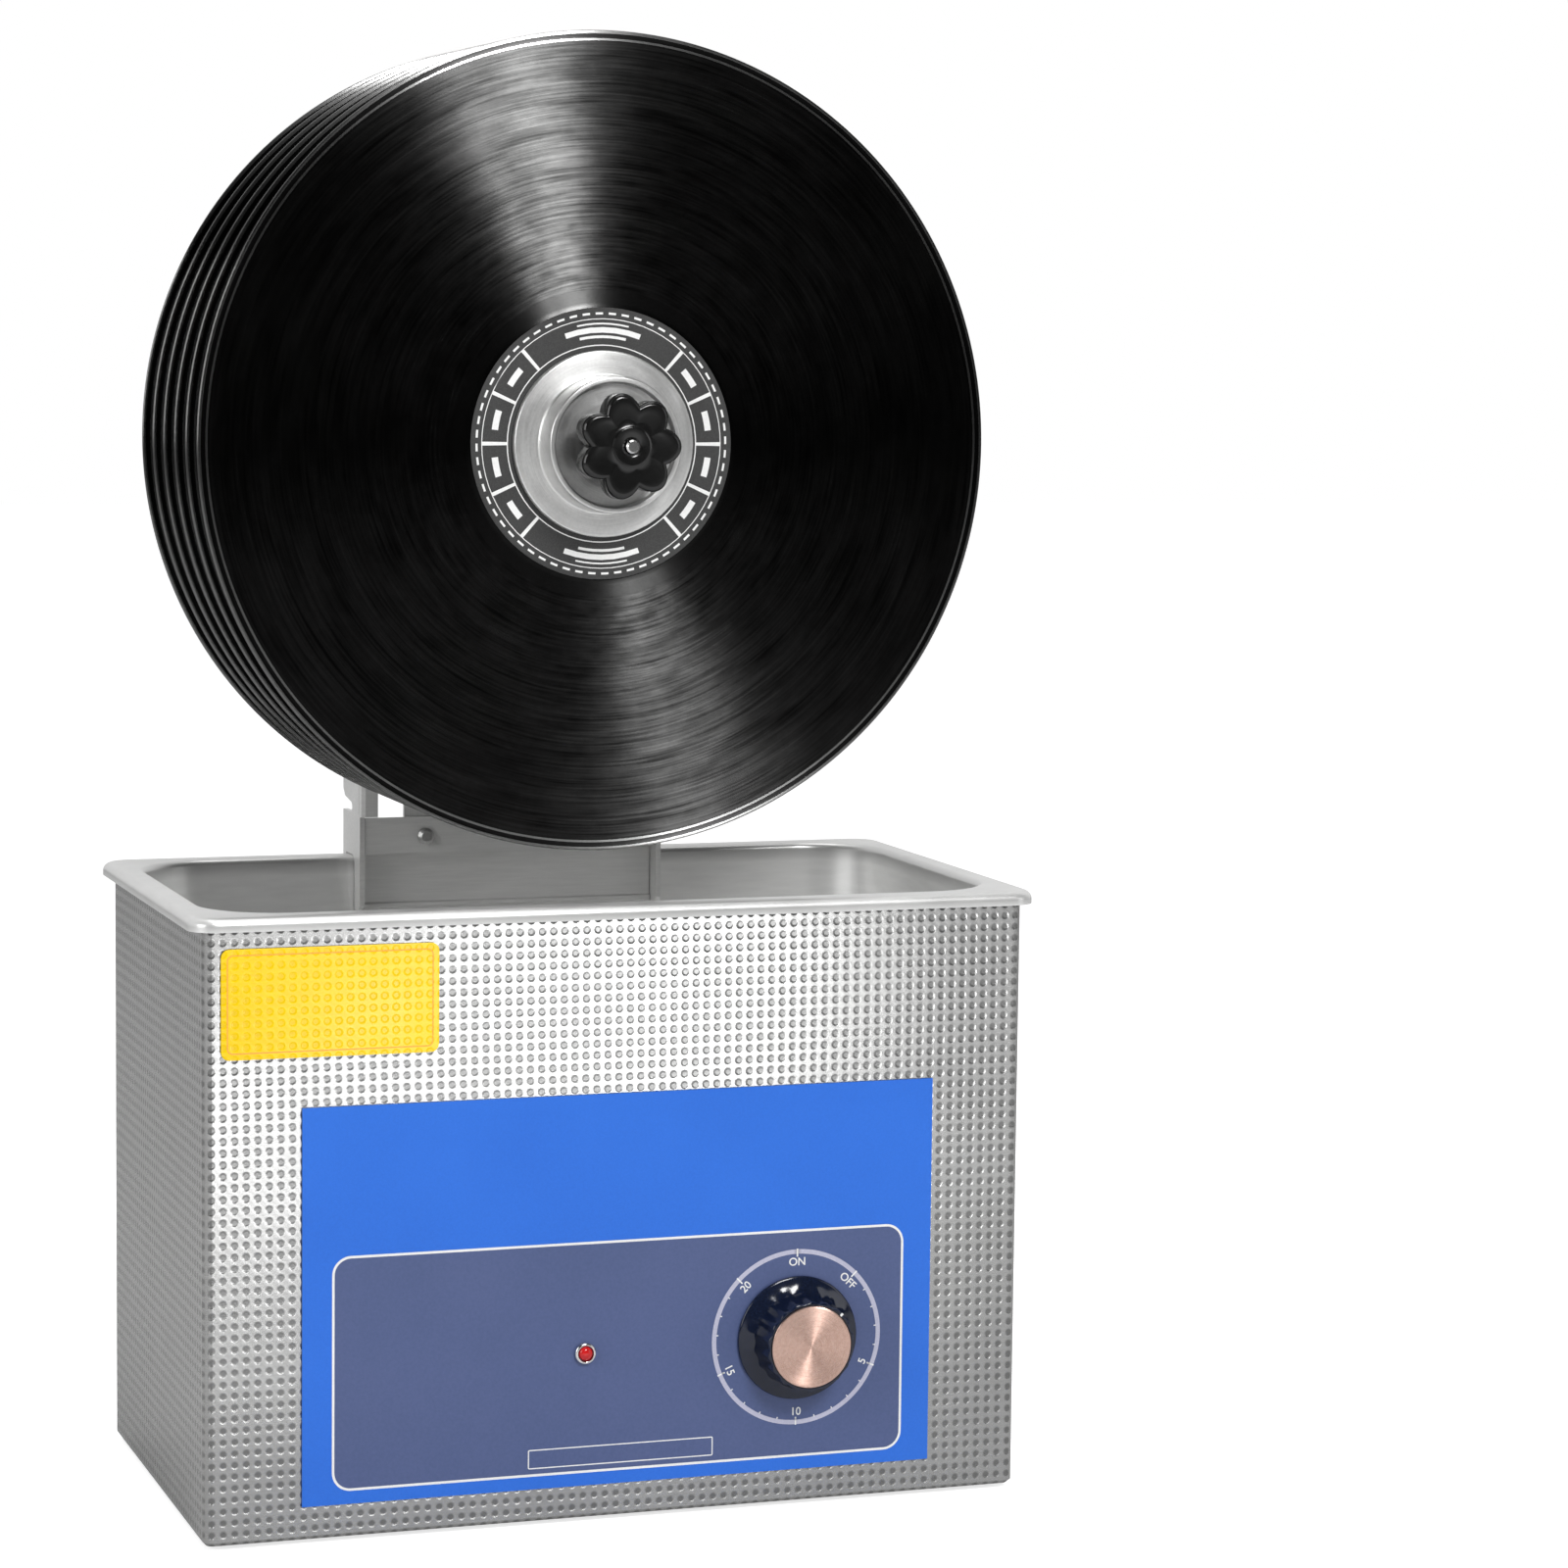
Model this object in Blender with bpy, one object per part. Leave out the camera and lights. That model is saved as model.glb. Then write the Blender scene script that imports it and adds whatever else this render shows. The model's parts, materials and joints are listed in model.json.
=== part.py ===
"""Record cleaning machine: an ultrasonic bath with a liftable, motor-driven spindle of records.

Frame: X to the right, Y to the back, Z up, metres. The origin is on the floor, under the middle of the
whole machine. Pieces are laid out about the case's own middle, and the empty named machine carries them
back to that origin. Heights of the case are counted from its bottom sheet, FOOT_HEIGHT over the floor.
"""

import math

import bmesh
import bpy

# Fits
SEAT_GAP = 0.0003
BORE_GAP = 0.0006
BORE_REACH = 0.012
SHEET = 0.0008
WELD_SNAP = 0.00005

# Case
CASE_WIDTH = 0.312
CASE_DEPTH = 0.172
CASE_CORNER = 0.003
CASE_BOTTOM_BEND = 0.0015
CASE_BOTTOM_LIP = 0.012
FOOT_HEIGHT = 0.002
FOOT_RADIUS = 0.008
FOOT_INSET = 0.017

# Tank and its rolled rim
RIM_OVERHANG = 0.005
RIM_CORNER = 0.010
RIM_DROP = 0.005
RIM_ROLL = 0.0032
TANK_END_MARGIN = 0.006
TANK_SIDE_MARGIN = 0.008
TANK_CORNER = 0.0285
TANK_DEPTH = 0.150
UNDER_TANK = 0.0777
TANK_LIP = 0.0025
TANK_FILLET = 0.014
CORNER_STEPS = 4
FILLET_STEPS = 3

# Front of the case
PANEL_WIDTH = 0.241
PANEL_DROP = 0.0697
PANEL_BOTTOM = 0.0125
PANEL_SHEET = 0.0008
PLATE_WIDTH = 0.0797
PLATE_HEIGHT = 0.0398
PLATE_MARGIN = 0.0061
PLATE_DROP = 0.0514
PLATE_SHEET = 0.0004
PLATE_CORNER = 0.003
LAMP_SIDE = 0.0148
LAMP_HEIGHT = 0.0622
LAMP_RADIUS = 0.0026
BEZEL_RADIUS = 0.0040
BEZEL_REACH = 0.0016
LAMP_REACH = 0.0026
LAMP_STEM = 0.0080

# Timer and its knob
TIMER_INSET = 0.053
TIMER_HEIGHT = 0.0628
TIMER_WIDTH = 0.034
TIMER_TALL = 0.022
TIMER_DEEP = 0.024
KNOB_STEM_RADIUS = 0.0035
KNOB_SKIRT_RADIUS = 0.0233
KNOB_SKIRT_DEEP = 0.0028
KNOB_GRIP_RADIUS = 0.0182
KNOB_FACE_RADIUS = 0.0170
KNOB_LENGTH = 0.0166
KNOB_FLUTE = 0.0007
KNOB_FLUTES = 18
KNOB_FLUTE_STEPS = 3
CAP_RADIUS = 0.0154
CAP_SHEET = 0.0010
CAP_SEAT = 0.0008

# Power inlet in the back
INLET_INSET = 0.056
INLET_HEIGHT = 0.045
INLET_WIDTH = 0.0266
INLET_TALL = 0.0192
INLET_DEEP = 0.020
INLET_LIP = 0.003
INLET_LIP_SHEET = 0.002
INLET_WELL_WALL = 0.0022
INLET_WELL_DEEP = 0.015
INLET_PIN_WIDTH = 0.002
INLET_PIN_TALL = 0.004
INLET_PIN_DEEP = 0.011
INLET_PIN_PITCH = 0.007
INLET_PIN_STEP = 0.002

# Inside the case
TRANSDUCER_INSET = 0.050
TRANSDUCER_BACK = 0.027
HORN_RADIUS = 0.0235
HORN_NECK_RADIUS = 0.0185
HORN_LENGTH = 0.022
PIEZO_RADIUS = 0.0175
PIEZO_LENGTH = 0.010
TAIL_RADIUS = 0.0190
TAIL_LENGTH = 0.014
BOARD_WIDTH = 0.084
BOARD_LONG = 0.110
BOARD_SHEET = 0.0016
BOARD_RISE = 0.006
BOARD_LEG = 0.006
CORE_WIDTH = 0.034
CORE_LONG = 0.028
CORE_TALL = 0.024
SINK_WIDTH = 0.052
SINK_LONG = 0.012
SINK_TALL = 0.030
CAN_RADIUS = 0.0075
CAN_TALL = 0.022

# Records
SPINDLE_RISE = 0.1663
RECORD_RADIUS = 0.1508
RECORD_HOLE = 0.0036
RECORD_SHEET = 0.0015
RECORD_MIDDLE_SHEET = 0.0020
RECORD_PITCH = 0.0205
RECORD_COUNT = 6
RECORD_CLEAR = 0.0155
LABEL_RADIUS = 0.0500
LABEL_SHEET = 0.0003
LABEL_STEP = 0.0020
RECORD_STEPS = 44

# Spindle stack
SHAFT_RADIUS = 0.0033
STUD_RADIUS = 0.0025
STUD_REACH = 0.0408
CLAMP_RADIUS = 0.0343
CLAMP_SHEET = 0.0030
HUB_RADIUS = 0.0250
HUB_REACH = 0.0195
HUB_WALL = 0.0022
HUB_WELL = 0.0030
EDGE_BREAK = 0.0006
SPACER_CORE = 0.0170
SPACER_FLANGE = 0.0025
SHAFT_INSERT = 0.009
REAR_HUB_RADIUS = 0.0110
STACK_STEPS = 28

# Star knob
STAR_RADIUS = 0.0195
STAR_VALLEY = 0.0152
STAR_LOBES = 7
STAR_LOBE_STEPS = 5
STAR_REACH = 0.0385
STAR_DEEP = 0.0110
STAR_ROUND = 0.0022
STAR_NECK = 0.0080
STAR_BOSS = 0.0070
STAR_BOSS_RISE = 0.0009

# Hanger on the back rim
CHEEK_SHEET = 0.0020
CHEEK_OUT = 0.0620
CHEEK_LEG = 0.0100
CHEEK_TAIL_DEEP = 0.0050
CHEEK_TIP = 0.0190
CHEEK_TIP_SLANT = 0.0020
CHEEK_TAIL = 0.0220
CHEEK_BEND = 0.0023
CHEEK_TURN_WIDTH = 0.0073
CHEEK_ABOVE_NOTCH = 0.0200
CHEEK_TOP_ROUND = 0.0060
RIM_SLOT_GAP = 0.0004
INSIDE_GAP = 0.0008
BAND_SHEET = 0.0015
BAND_SETBACK = 0.0005
BAND_TOP = 0.0160
BAND_LEDGE = 0.0018
APRON_DROP = 0.0206
HEM_RADIUS = 0.0011
MAST_HALF_WIDTH = 0.0435
MAST_SHEET = 0.0020
MAST_ABOVE = 0.0420
MAST_SLOT_GAP = 0.0004
MAST_CORNER = 0.0060
SCREW_SIDE = 0.0354
SCREW_HEIGHT = 0.0083
SCREW_RADIUS = 0.0020
SCREW_HEAD_RADIUS = 0.0033
SCREW_HEAD_DEEP = 0.0022
NUT_RADIUS = 0.0038
NUT_DEEP = 0.0024
SCREW_STEPS = 18
NUT_SIDES = 6

# Notches and the latch bar
NOTCH_COUNT = 5
LIFT_TRAVEL = 0.125
LATCH_BELOW_SPINDLE = 0.0222
LATCH_RADIUS = 0.0015
LATCH_STROKE = 0.0150
LATCH_CLEAR = 0.0006
LATCH_KNOB_RADIUS = 0.0042
LATCH_KNOB_LENGTH = 0.0070
NOTCH_HALF = 0.0020
NOTCH_ROOF_RISE = 0.0014
NOTCH_LEAD = 0.0030
NOTCH_LEAD_RISE = 0.0042

# Clamp at the back of the rim
CLAMP_PLATE_GAP = 0.0014
CLAMP_PLATE_SHEET = 0.0020
CLAMP_PLATE_LOW = 0.0205
CLAMP_PLATE_HIGH = 0.0030
THUMB_SIDE = 0.0400
THUMB_DROP = 0.0125
THUMB_RADIUS = 0.0025
THUMB_LENGTH = 0.0200
THUMB_HEAD_RADIUS = 0.0075
THUMB_HEAD_DEEP = 0.0065
THUMB_FLUTE = 0.0005
THUMB_FLUTES = 10
THUMB_FLUTE_STEPS = 3

# Carriage with the gear motor
SLEEVE_WALL = 0.0022
SLEEVE_SIDE_WALL = 0.0030
SLEEVE_BELOW = 0.0240
SLEEVE_ABOVE = 0.0360
SLEEVE_CORNER = 0.0012
TUBE_RADIUS = 0.0075
TUBE_CLEAR = 0.0057
GEARBOX_RADIUS = 0.0175
GEARBOX_LENGTH = 0.0215
MOTOR_RADIUS = 0.0160
MOTOR_LENGTH = 0.0280
MOTOR_CAP_RADIUS = 0.0150
MOTOR_CAP_LENGTH = 0.0040
JACK_RADIUS = 0.0045
JACK_LENGTH = 0.0060
JACK_WELL_RADIUS = 0.0028
JACK_WELL_DEEP = 0.0070
LUG_SIDE = 0.0300
LUG_SHEET = 0.0020
LUG_HALF = 0.0060

# Facets of small round pieces
ROUND_STEPS = 20

# Derived places
RIM_HEIGHT = TANK_DEPTH + UNDER_TANK
RIM_TOP = FOOT_HEIGHT + RIM_HEIGHT
SPINDLE_Z = RIM_TOP + SPINDLE_RISE
PANEL_HEIGHT = RIM_HEIGHT - PANEL_DROP - PANEL_BOTTOM
PLATE_BOTTOM = RIM_HEIGHT - PLATE_DROP
TIMER_SIDE = PANEL_WIDTH / 2 - TIMER_INSET
CASE_FRONT_Y = -CASE_DEPTH / 2
CASE_BACK_Y = CASE_DEPTH / 2
RIM_BACK_Y = CASE_BACK_Y + RIM_OVERHANG
TANK_LENGTH = CASE_WIDTH - 2 * TANK_END_MARGIN
TANK_BREADTH = CASE_DEPTH - 2 * TANK_SIDE_MARGIN
TANK_BACK_Y = TANK_BREADTH / 2
TRANSDUCER_SIDE = TANK_LENGTH / 2 - TRANSDUCER_INSET
PLATE_LEFT = CASE_WIDTH / 2 - PLATE_MARGIN
INLET_SIDE = CASE_WIDTH / 2 - INLET_INSET
CHEEK_FRONT = TANK_BACK_Y - CHEEK_LEG
CHEEK_BACK = RIM_BACK_Y + CHEEK_TAIL_DEEP
BAND_FRONT = CHEEK_FRONT + BAND_SETBACK
CLAMP_PLATE_FRONT = RIM_BACK_Y + CLAMP_PLATE_GAP
MAST_FRONT_Y = BAND_FRONT + BAND_SHEET + SEAT_GAP
MAST_BACK_Y = MAST_FRONT_Y + MAST_SHEET
SLEEVE_FRONT_Y = MAST_FRONT_Y - SEAT_GAP - SLEEVE_WALL
SLEEVE_BACK_Y = MAST_BACK_Y + SEAT_GAP + SLEEVE_WALL
LATCH_Z = SPINDLE_Z - LATCH_BELOW_SPINDLE
LATCH_Y = CHEEK_BACK + LATCH_RADIUS + LATCH_CLEAR
NOTCH_END_Y = LATCH_Y - LATCH_STROKE
LAST_RECORD_Y = CHEEK_FRONT - RECORD_CLEAR
FIRST_RECORD_Y = LAST_RECORD_Y - (RECORD_COUNT - 1) * RECORD_PITCH
RECORD_FACE_Y = FIRST_RECORD_Y - RECORD_MIDDLE_SHEET / 2
CLAMP_FACE_Y = RECORD_FACE_Y - LABEL_SHEET - SEAT_GAP - SEAT_GAP
HUB_FRONT_Y = FIRST_RECORD_Y - HUB_REACH
STAR_FRONT_Y = FIRST_RECORD_Y - STAR_REACH
STUD_FRONT_Y = FIRST_RECORD_Y - STUD_REACH
TUBE_FRONT = LAST_RECORD_Y + TUBE_CLEAR
GEARBOX_FRONT_Y = SLEEVE_BACK_Y + SEAT_GAP
PANEL_FACE_Y = CASE_FRONT_Y - SEAT_GAP - PANEL_SHEET
KNOB_SEAT_Y = PANEL_FACE_Y - SEAT_GAP
CAP_BACK_Y = KNOB_SEAT_Y - KNOB_LENGTH + CAP_SEAT - SEAT_GAP
MOTOR_END_Y = GEARBOX_FRONT_Y + GEARBOX_LENGTH + SEAT_GAP + MOTOR_LENGTH + SEAT_GAP + MOTOR_CAP_LENGTH
MIDDLE_Y = (CAP_BACK_Y - CAP_SHEET + MOTOR_END_Y + JACK_LENGTH) / 2

QUARTER_TURN = math.pi / 2
SMOOTH_ANGLE = math.radians(35.0)


# Materials
def material(name, colour, roughness, metallic):
    """One plain Principled material."""
    made = bpy.data.materials.new(name)
    made.use_nodes = True
    shader = made.node_tree.nodes["Principled BSDF"]
    shader.inputs["Base Color"].default_value = (*colour, 1.0)
    shader.inputs["Roughness"].default_value = roughness
    shader.inputs["Metallic"].default_value = metallic
    return made


PAINTS = {
    "case_steel": ((0.62, 0.62, 0.61), 0.30, 1.0),
    "tank_steel": ((0.66, 0.66, 0.65), 0.28, 1.0),
    "base_steel": ((0.50, 0.50, 0.50), 0.45, 1.0),
    "foot_rubber": ((0.03, 0.03, 0.03), 0.80, 0.0),
    "panel_blue": ((0.03, 0.20, 0.85), 0.40, 0.0),
    "plate_yellow": ((0.95, 0.66, 0.03), 0.45, 0.0),
    "lamp_red": ((0.75, 0.03, 0.02), 0.15, 0.0),
    "knob_black": ((0.02, 0.02, 0.02), 0.25, 0.0),
    "knob_copper": ((0.72, 0.40, 0.30), 0.30, 1.0),
    "inlet_black": ((0.03, 0.03, 0.03), 0.45, 0.0),
    "horn_aluminium": ((0.70, 0.70, 0.70), 0.40, 1.0),
    "board_green": ((0.03, 0.22, 0.08), 0.50, 0.0),
    "timer_grey": ((0.35, 0.35, 0.36), 0.50, 0.0),
    "hanger_steel": ((0.60, 0.60, 0.59), 0.32, 1.0),
    "mast_steel": ((0.64, 0.64, 0.63), 0.36, 1.0),
    "screw_steel": ((0.45, 0.45, 0.45), 0.35, 1.0),
    "thumb_brass": ((0.55, 0.42, 0.18), 0.35, 1.0),
    "sleeve_grey": ((0.55, 0.56, 0.57), 0.45, 0.0),
    "bearing_bronze": ((0.50, 0.33, 0.16), 0.40, 1.0),
    "motor_steel": ((0.52, 0.52, 0.53), 0.35, 1.0),
    "motor_black": ((0.04, 0.04, 0.04), 0.50, 0.0),
    "shaft_steel": ((0.70, 0.70, 0.70), 0.20, 1.0),
    "record_black": ((0.012, 0.012, 0.012), 0.22, 0.0),
    "label_dark": ((0.03, 0.03, 0.035), 0.55, 0.0),
    "spacer_grey": ((0.20, 0.20, 0.21), 0.50, 0.0),
    "clamp_metal": ((0.66, 0.66, 0.66), 0.38, 1.0),
    "star_black": ((0.02, 0.02, 0.02), 0.35, 0.0),
}


def paint(item, key):
    """Give the object its own material of a listed kind."""
    colour, roughness, metallic = PAINTS[key]
    item.data.materials.append(material(item.name + "_" + key, colour, roughness, metallic))


# Mesh makers
def make(name, points, faces, place, key=None, turn=(0.0, 0.0, 0.0)):
    """An object of the given points and faces, outward-facing, smooth with sharp edges kept."""
    mesh = bpy.data.meshes.new(name)
    mesh.from_pydata(points, [], faces)
    work = bmesh.new()
    work.from_mesh(mesh)
    bmesh.ops.remove_doubles(work, verts=work.verts, dist=WELD_SNAP)
    bmesh.ops.recalc_face_normals(work, faces=work.faces)
    work.to_mesh(mesh)
    work.free()
    mesh.shade_smooth()
    mesh.set_sharp_from_angle(angle=SMOOTH_ANGLE)
    item = bpy.data.objects.new(name, mesh)
    item.location = place
    item.rotation_euler = turn
    bpy.context.scene.collection.objects.link(item)
    if key is not None:
        paint(item, key)
    return item


def copy_of(source, name, place, key):
    """A second object on a mesh of its own copy, with its own material."""
    mesh = source.data.copy()
    mesh.name = name
    mesh.materials.clear()
    item = bpy.data.objects.new(name, mesh)
    item.location = place
    item.rotation_euler = source.rotation_euler
    bpy.context.scene.collection.objects.link(item)
    paint(item, key)
    return item


def box(name, low, high, key=None):
    """A plain block between two corners."""
    middle = [(a + b) / 2 for a, b in zip(low, high)]
    half = [(b - a) / 2 for a, b in zip(low, high)]
    signs = ((-1, -1), (1, -1), (1, 1), (-1, 1))
    points = [(sx * half[0], sy * half[1], sz * half[2]) for sz in (-1, 1) for sx, sy in signs]
    faces = [(0, 3, 2, 1), (4, 5, 6, 7), (0, 1, 5, 4), (1, 2, 6, 5), (2, 3, 7, 6), (3, 0, 4, 7)]
    return make(name, points, faces, middle, key)


def stack(rings, looped):
    """Points and faces through equal rings: looped like a tube wall, or capped at both ends."""
    count = len(rings[0])
    points = [p for ring in rings for p in ring]
    faces = []
    last = len(rings) if looped else len(rings) - 1
    for row in range(last):
        above = (row + 1) % len(rings)
        for k in range(count):
            follow = (k + 1) % count
            faces.append((row * count + k, row * count + follow, above * count + follow, above * count + k))
    if not looped:
        faces.append(tuple(range(count)))
        faces.append(tuple((len(rings) - 1) * count + k for k in range(count)))
    return points, faces


def circle(radius, along, steps):
    """A ring about the local Y axis."""
    ring = []
    for k in range(steps):
        angle = 2 * math.pi * k / steps
        ring.append((radius * math.cos(angle), along, radius * math.sin(angle)))
    return ring


def lathe(name, profile, place, key=None, steps=ROUND_STEPS, bored=True, turn=(0.0, 0.0, 0.0)):
    """A turned piece about the local Y axis: the profile is (radius, along), bored or with flat ends."""
    rings = [circle(radius, along, steps) for radius, along in profile]
    points, faces = stack(rings, bored)
    return make(name, points, faces, place, key, turn)


def rounded(half_x, half_y, corner, level):
    """A rounded rectangle at one height, the same number of points for every size."""
    ring = []
    for quarter, (sx, sy) in enumerate(((1, 1), (-1, 1), (-1, -1), (1, -1))):
        for k in range(CORNER_STEPS + 1):
            angle = QUARTER_TURN * (quarter + k / CORNER_STEPS)
            x = sx * (half_x - corner) + corner * math.cos(angle)
            y = sy * (half_y - corner) + corner * math.sin(angle)
            ring.append((x, y, level))
    return ring


def slab(name, half_x, half_y, corner, low, high, key):
    """A flat plate with rounded corners, lying level."""
    rings = [rounded(half_x, half_y, corner, low), rounded(half_x, half_y, corner, high)]
    points, faces = stack(rings, False)
    return make(name, points, faces, (0.0, 0.0, 0.0), key)


def upright(name, half_x, half_z, corner, front, back, middle_x, middle_z, key=None):
    """A flat plate with rounded corners, standing in the XZ plane."""
    front_ring = [(x, front, z) for x, z, _ in rounded(half_x, half_z, corner, 0.0)]
    back_ring = [(x, back, z) for x, z, _ in rounded(half_x, half_z, corner, 0.0)]
    points, faces = stack([front_ring, back_ring], False)
    return make(name, points, faces, (middle_x, 0.0, middle_z), key)


def side_cut(name, outline, left, right, place, key=None):
    """An outline in the YZ plane, given thickness along X."""
    rings = [[(x, y, z) for y, z in outline] for x in (left, right)]
    points, faces = stack(rings, False)
    return make(name, points, faces, place, key)


def level_cut(name, outline, low, high, key=None):
    """An outline in the XY plane, given height along Z."""
    rings = [[(x, y, z) for x, y in outline] for z in (low, high)]
    points, faces = stack(rings, False)
    return make(name, points, faces, (0.0, 0.0, 0.0), key)


def combine(target, tool, operation):
    """A boolean step on the target; the tool stays as a hidden wire."""
    step = target.modifiers.new(tool.name, "BOOLEAN")
    step.operation = operation
    step.solver = "EXACT"
    step.object = tool
    tool.hide_render = True
    tool.display_type = "WIRE"


def cut(target, tool):
    combine(target, tool, "DIFFERENCE")


def join(target, tool):
    combine(target, tool, "UNION")


# Case, tank and feet
def case_shell():
    """The folded sheet body, open at the top, with a lip turned in under the bottom."""
    half_x = CASE_WIDTH / 2
    half_y = CASE_DEPTH / 2
    bottom = FOOT_HEIGHT
    top = RIM_TOP - SHEET - SEAT_GAP
    inner_corner = CASE_CORNER - SHEET
    bend = CASE_BOTTOM_BEND
    bent = CASE_BOTTOM_BEND - SHEET
    lip = CASE_BOTTOM_LIP
    rings = [
        rounded(half_x - lip, half_y - lip, inner_corner, bottom),
        rounded(half_x - bend, half_y - bend, CASE_CORNER - bent, bottom),
        rounded(half_x, half_y, CASE_CORNER, bottom + bend),
        rounded(half_x, half_y, CASE_CORNER, top),
        rounded(half_x - SHEET, half_y - SHEET, inner_corner, top),
        rounded(half_x - SHEET, half_y - SHEET, inner_corner, bottom + bend),
        rounded(half_x - bend, half_y - bend, CASE_CORNER - bend, bottom + SHEET),
        rounded(half_x - lip, half_y - lip, inner_corner, bottom + SHEET),
    ]
    points, faces = stack(rings, True)
    shell = make("case_shell", points, faces, (0.0, 0.0, 0.0), "case_steel")
    cut(shell, front_bore("case_timer_bore", KNOB_STEM_RADIUS + BORE_GAP, TIMER_SIDE, TIMER_HEIGHT))
    cut(shell, front_bore("case_lamp_bore", LAMP_RADIUS + BORE_GAP, -LAMP_SIDE, LAMP_HEIGHT))
    half_width = INLET_WIDTH / 2 + SEAT_GAP
    half_tall = INLET_TALL / 2 + SEAT_GAP
    middle = FOOT_HEIGHT + INLET_HEIGHT
    low = (-INLET_SIDE - half_width, CASE_BACK_Y - INLET_DEEP, middle - half_tall)
    high = (-INLET_SIDE + half_width, CASE_BACK_Y + INLET_DEEP, middle + half_tall)
    cut(shell, box("case_inlet_cut", low, high))


def front_bore(name, radius, side, height):
    """A cutter through the front wall and the panel on it."""
    profile = [(radius, -BORE_REACH), (radius, BORE_REACH)]
    place = (side, CASE_FRONT_Y, FOOT_HEIGHT + height)
    return lathe(name, profile, place, bored=False)


def base_plate():
    """The flat bottom, lying on the turned-in lip."""
    low = FOOT_HEIGHT + SHEET + SEAT_GAP
    inset = CASE_BOTTOM_BEND + SEAT_GAP
    half_x = CASE_WIDTH / 2 - inset
    half_y = CASE_DEPTH / 2 - inset
    slab("base_plate", half_x, half_y, CASE_CORNER - SHEET, low, low + SHEET, "base_steel")


def tank():
    """The drawn tub: rolled rim, rounded lip, deep corners and a filleted bottom."""
    out_x = CASE_WIDTH / 2 + RIM_OVERHANG
    out_y = CASE_DEPTH / 2 + RIM_OVERHANG
    in_x = TANK_LENGTH / 2
    in_y = TANK_BREADTH / 2
    top = RIM_TOP
    floor = RIM_TOP - TANK_DEPTH
    diagonal = 1 - math.cos(math.pi / 4)

    def rim(inset, drop, shrink):
        return rounded(out_x - inset, out_y - inset, RIM_CORNER - shrink, top - drop)

    def wall(offset, level):
        return rounded(in_x + offset, in_y + offset, TANK_CORNER + offset, level)

    def fillet(offset):
        rings = []
        radius = TANK_FILLET + offset
        for k in range(FILLET_STEPS + 1):
            angle = QUARTER_TURN * k / FILLET_STEPS
            inset = radius * (1 - math.cos(angle)) - offset
            level = floor + TANK_FILLET - radius * math.sin(angle)
            rings.append(wall(-inset, level))
        return rings

    inside = fillet(0.0)[::-1]
    inside.append(wall(0.0, top - TANK_LIP))
    inside.append(wall(TANK_LIP * diagonal, top - TANK_LIP * diagonal))
    inside.append(wall(TANK_LIP, top))
    over = [
        rim(RIM_ROLL, 0.0, 0.0),
        rim(RIM_ROLL * diagonal, RIM_ROLL * diagonal, 0.0),
        rim(0.0, RIM_ROLL, 0.0),
        rim(0.0, RIM_DROP, 0.0),
    ]
    under = [
        rim(SHEET, RIM_DROP, SHEET),
        rim(SHEET, RIM_ROLL, SHEET),
        rim(RIM_ROLL, SHEET, SHEET),
        wall(TANK_LIP, top - SHEET),
        wall(SHEET, top - TANK_LIP),
    ]
    points, faces = stack(inside + over + under + fillet(SHEET), False)
    make("tank", points, faces, (0.0, 0.0, 0.0), "tank_steel")


def feet():
    """Four low pads under the corners."""
    side = CASE_WIDTH / 2 - FOOT_INSET
    back = CASE_DEPTH / 2 - FOOT_INSET
    top = FOOT_HEIGHT - SEAT_GAP
    profile = [
        (FOOT_RADIUS - EDGE_BREAK, 0.0),
        (FOOT_RADIUS, EDGE_BREAK),
        (FOOT_RADIUS, top),
    ]
    turn = (QUARTER_TURN, 0.0, 0.0)
    first = lathe("foot_front_left", profile, (-side, -back, 0.0), "foot_rubber", ROUND_STEPS, False, turn)
    copy_of(first, "foot_front_right", (side, -back, 0.0), "foot_rubber")
    copy_of(first, "foot_back_left", (-side, back, 0.0), "foot_rubber")
    copy_of(first, "foot_back_right", (side, back, 0.0), "foot_rubber")


# Front panel, bare yellow plate and lamp
def front_panel():
    """The blue plate with bores for the knob's stem and the lamp."""
    back = CASE_FRONT_Y - SEAT_GAP
    low = FOOT_HEIGHT + PANEL_BOTTOM
    panel = box(
        "front_panel",
        (-PANEL_WIDTH / 2, PANEL_FACE_Y, low),
        (PANEL_WIDTH / 2, back, low + PANEL_HEIGHT),
        "panel_blue",
    )
    cut(panel, front_bore("panel_timer_bore", KNOB_STEM_RADIUS + BORE_GAP, TIMER_SIDE, TIMER_HEIGHT))
    cut(panel, front_bore("panel_lamp_bore", LAMP_RADIUS + BORE_GAP, -LAMP_SIDE, LAMP_HEIGHT))


def yellow_plate():
    """The bare plate at the upper left of the front."""
    back = CASE_FRONT_Y - SEAT_GAP
    middle_x = -PLATE_LEFT + PLATE_WIDTH / 2
    middle_z = FOOT_HEIGHT + PLATE_BOTTOM + PLATE_HEIGHT / 2
    half_x = PLATE_WIDTH / 2
    half_z = PLATE_HEIGHT / 2
    front = back - PLATE_SHEET
    upright("yellow_plate", half_x, half_z, PLATE_CORNER, front, back, middle_x, middle_z, "plate_yellow")


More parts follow.
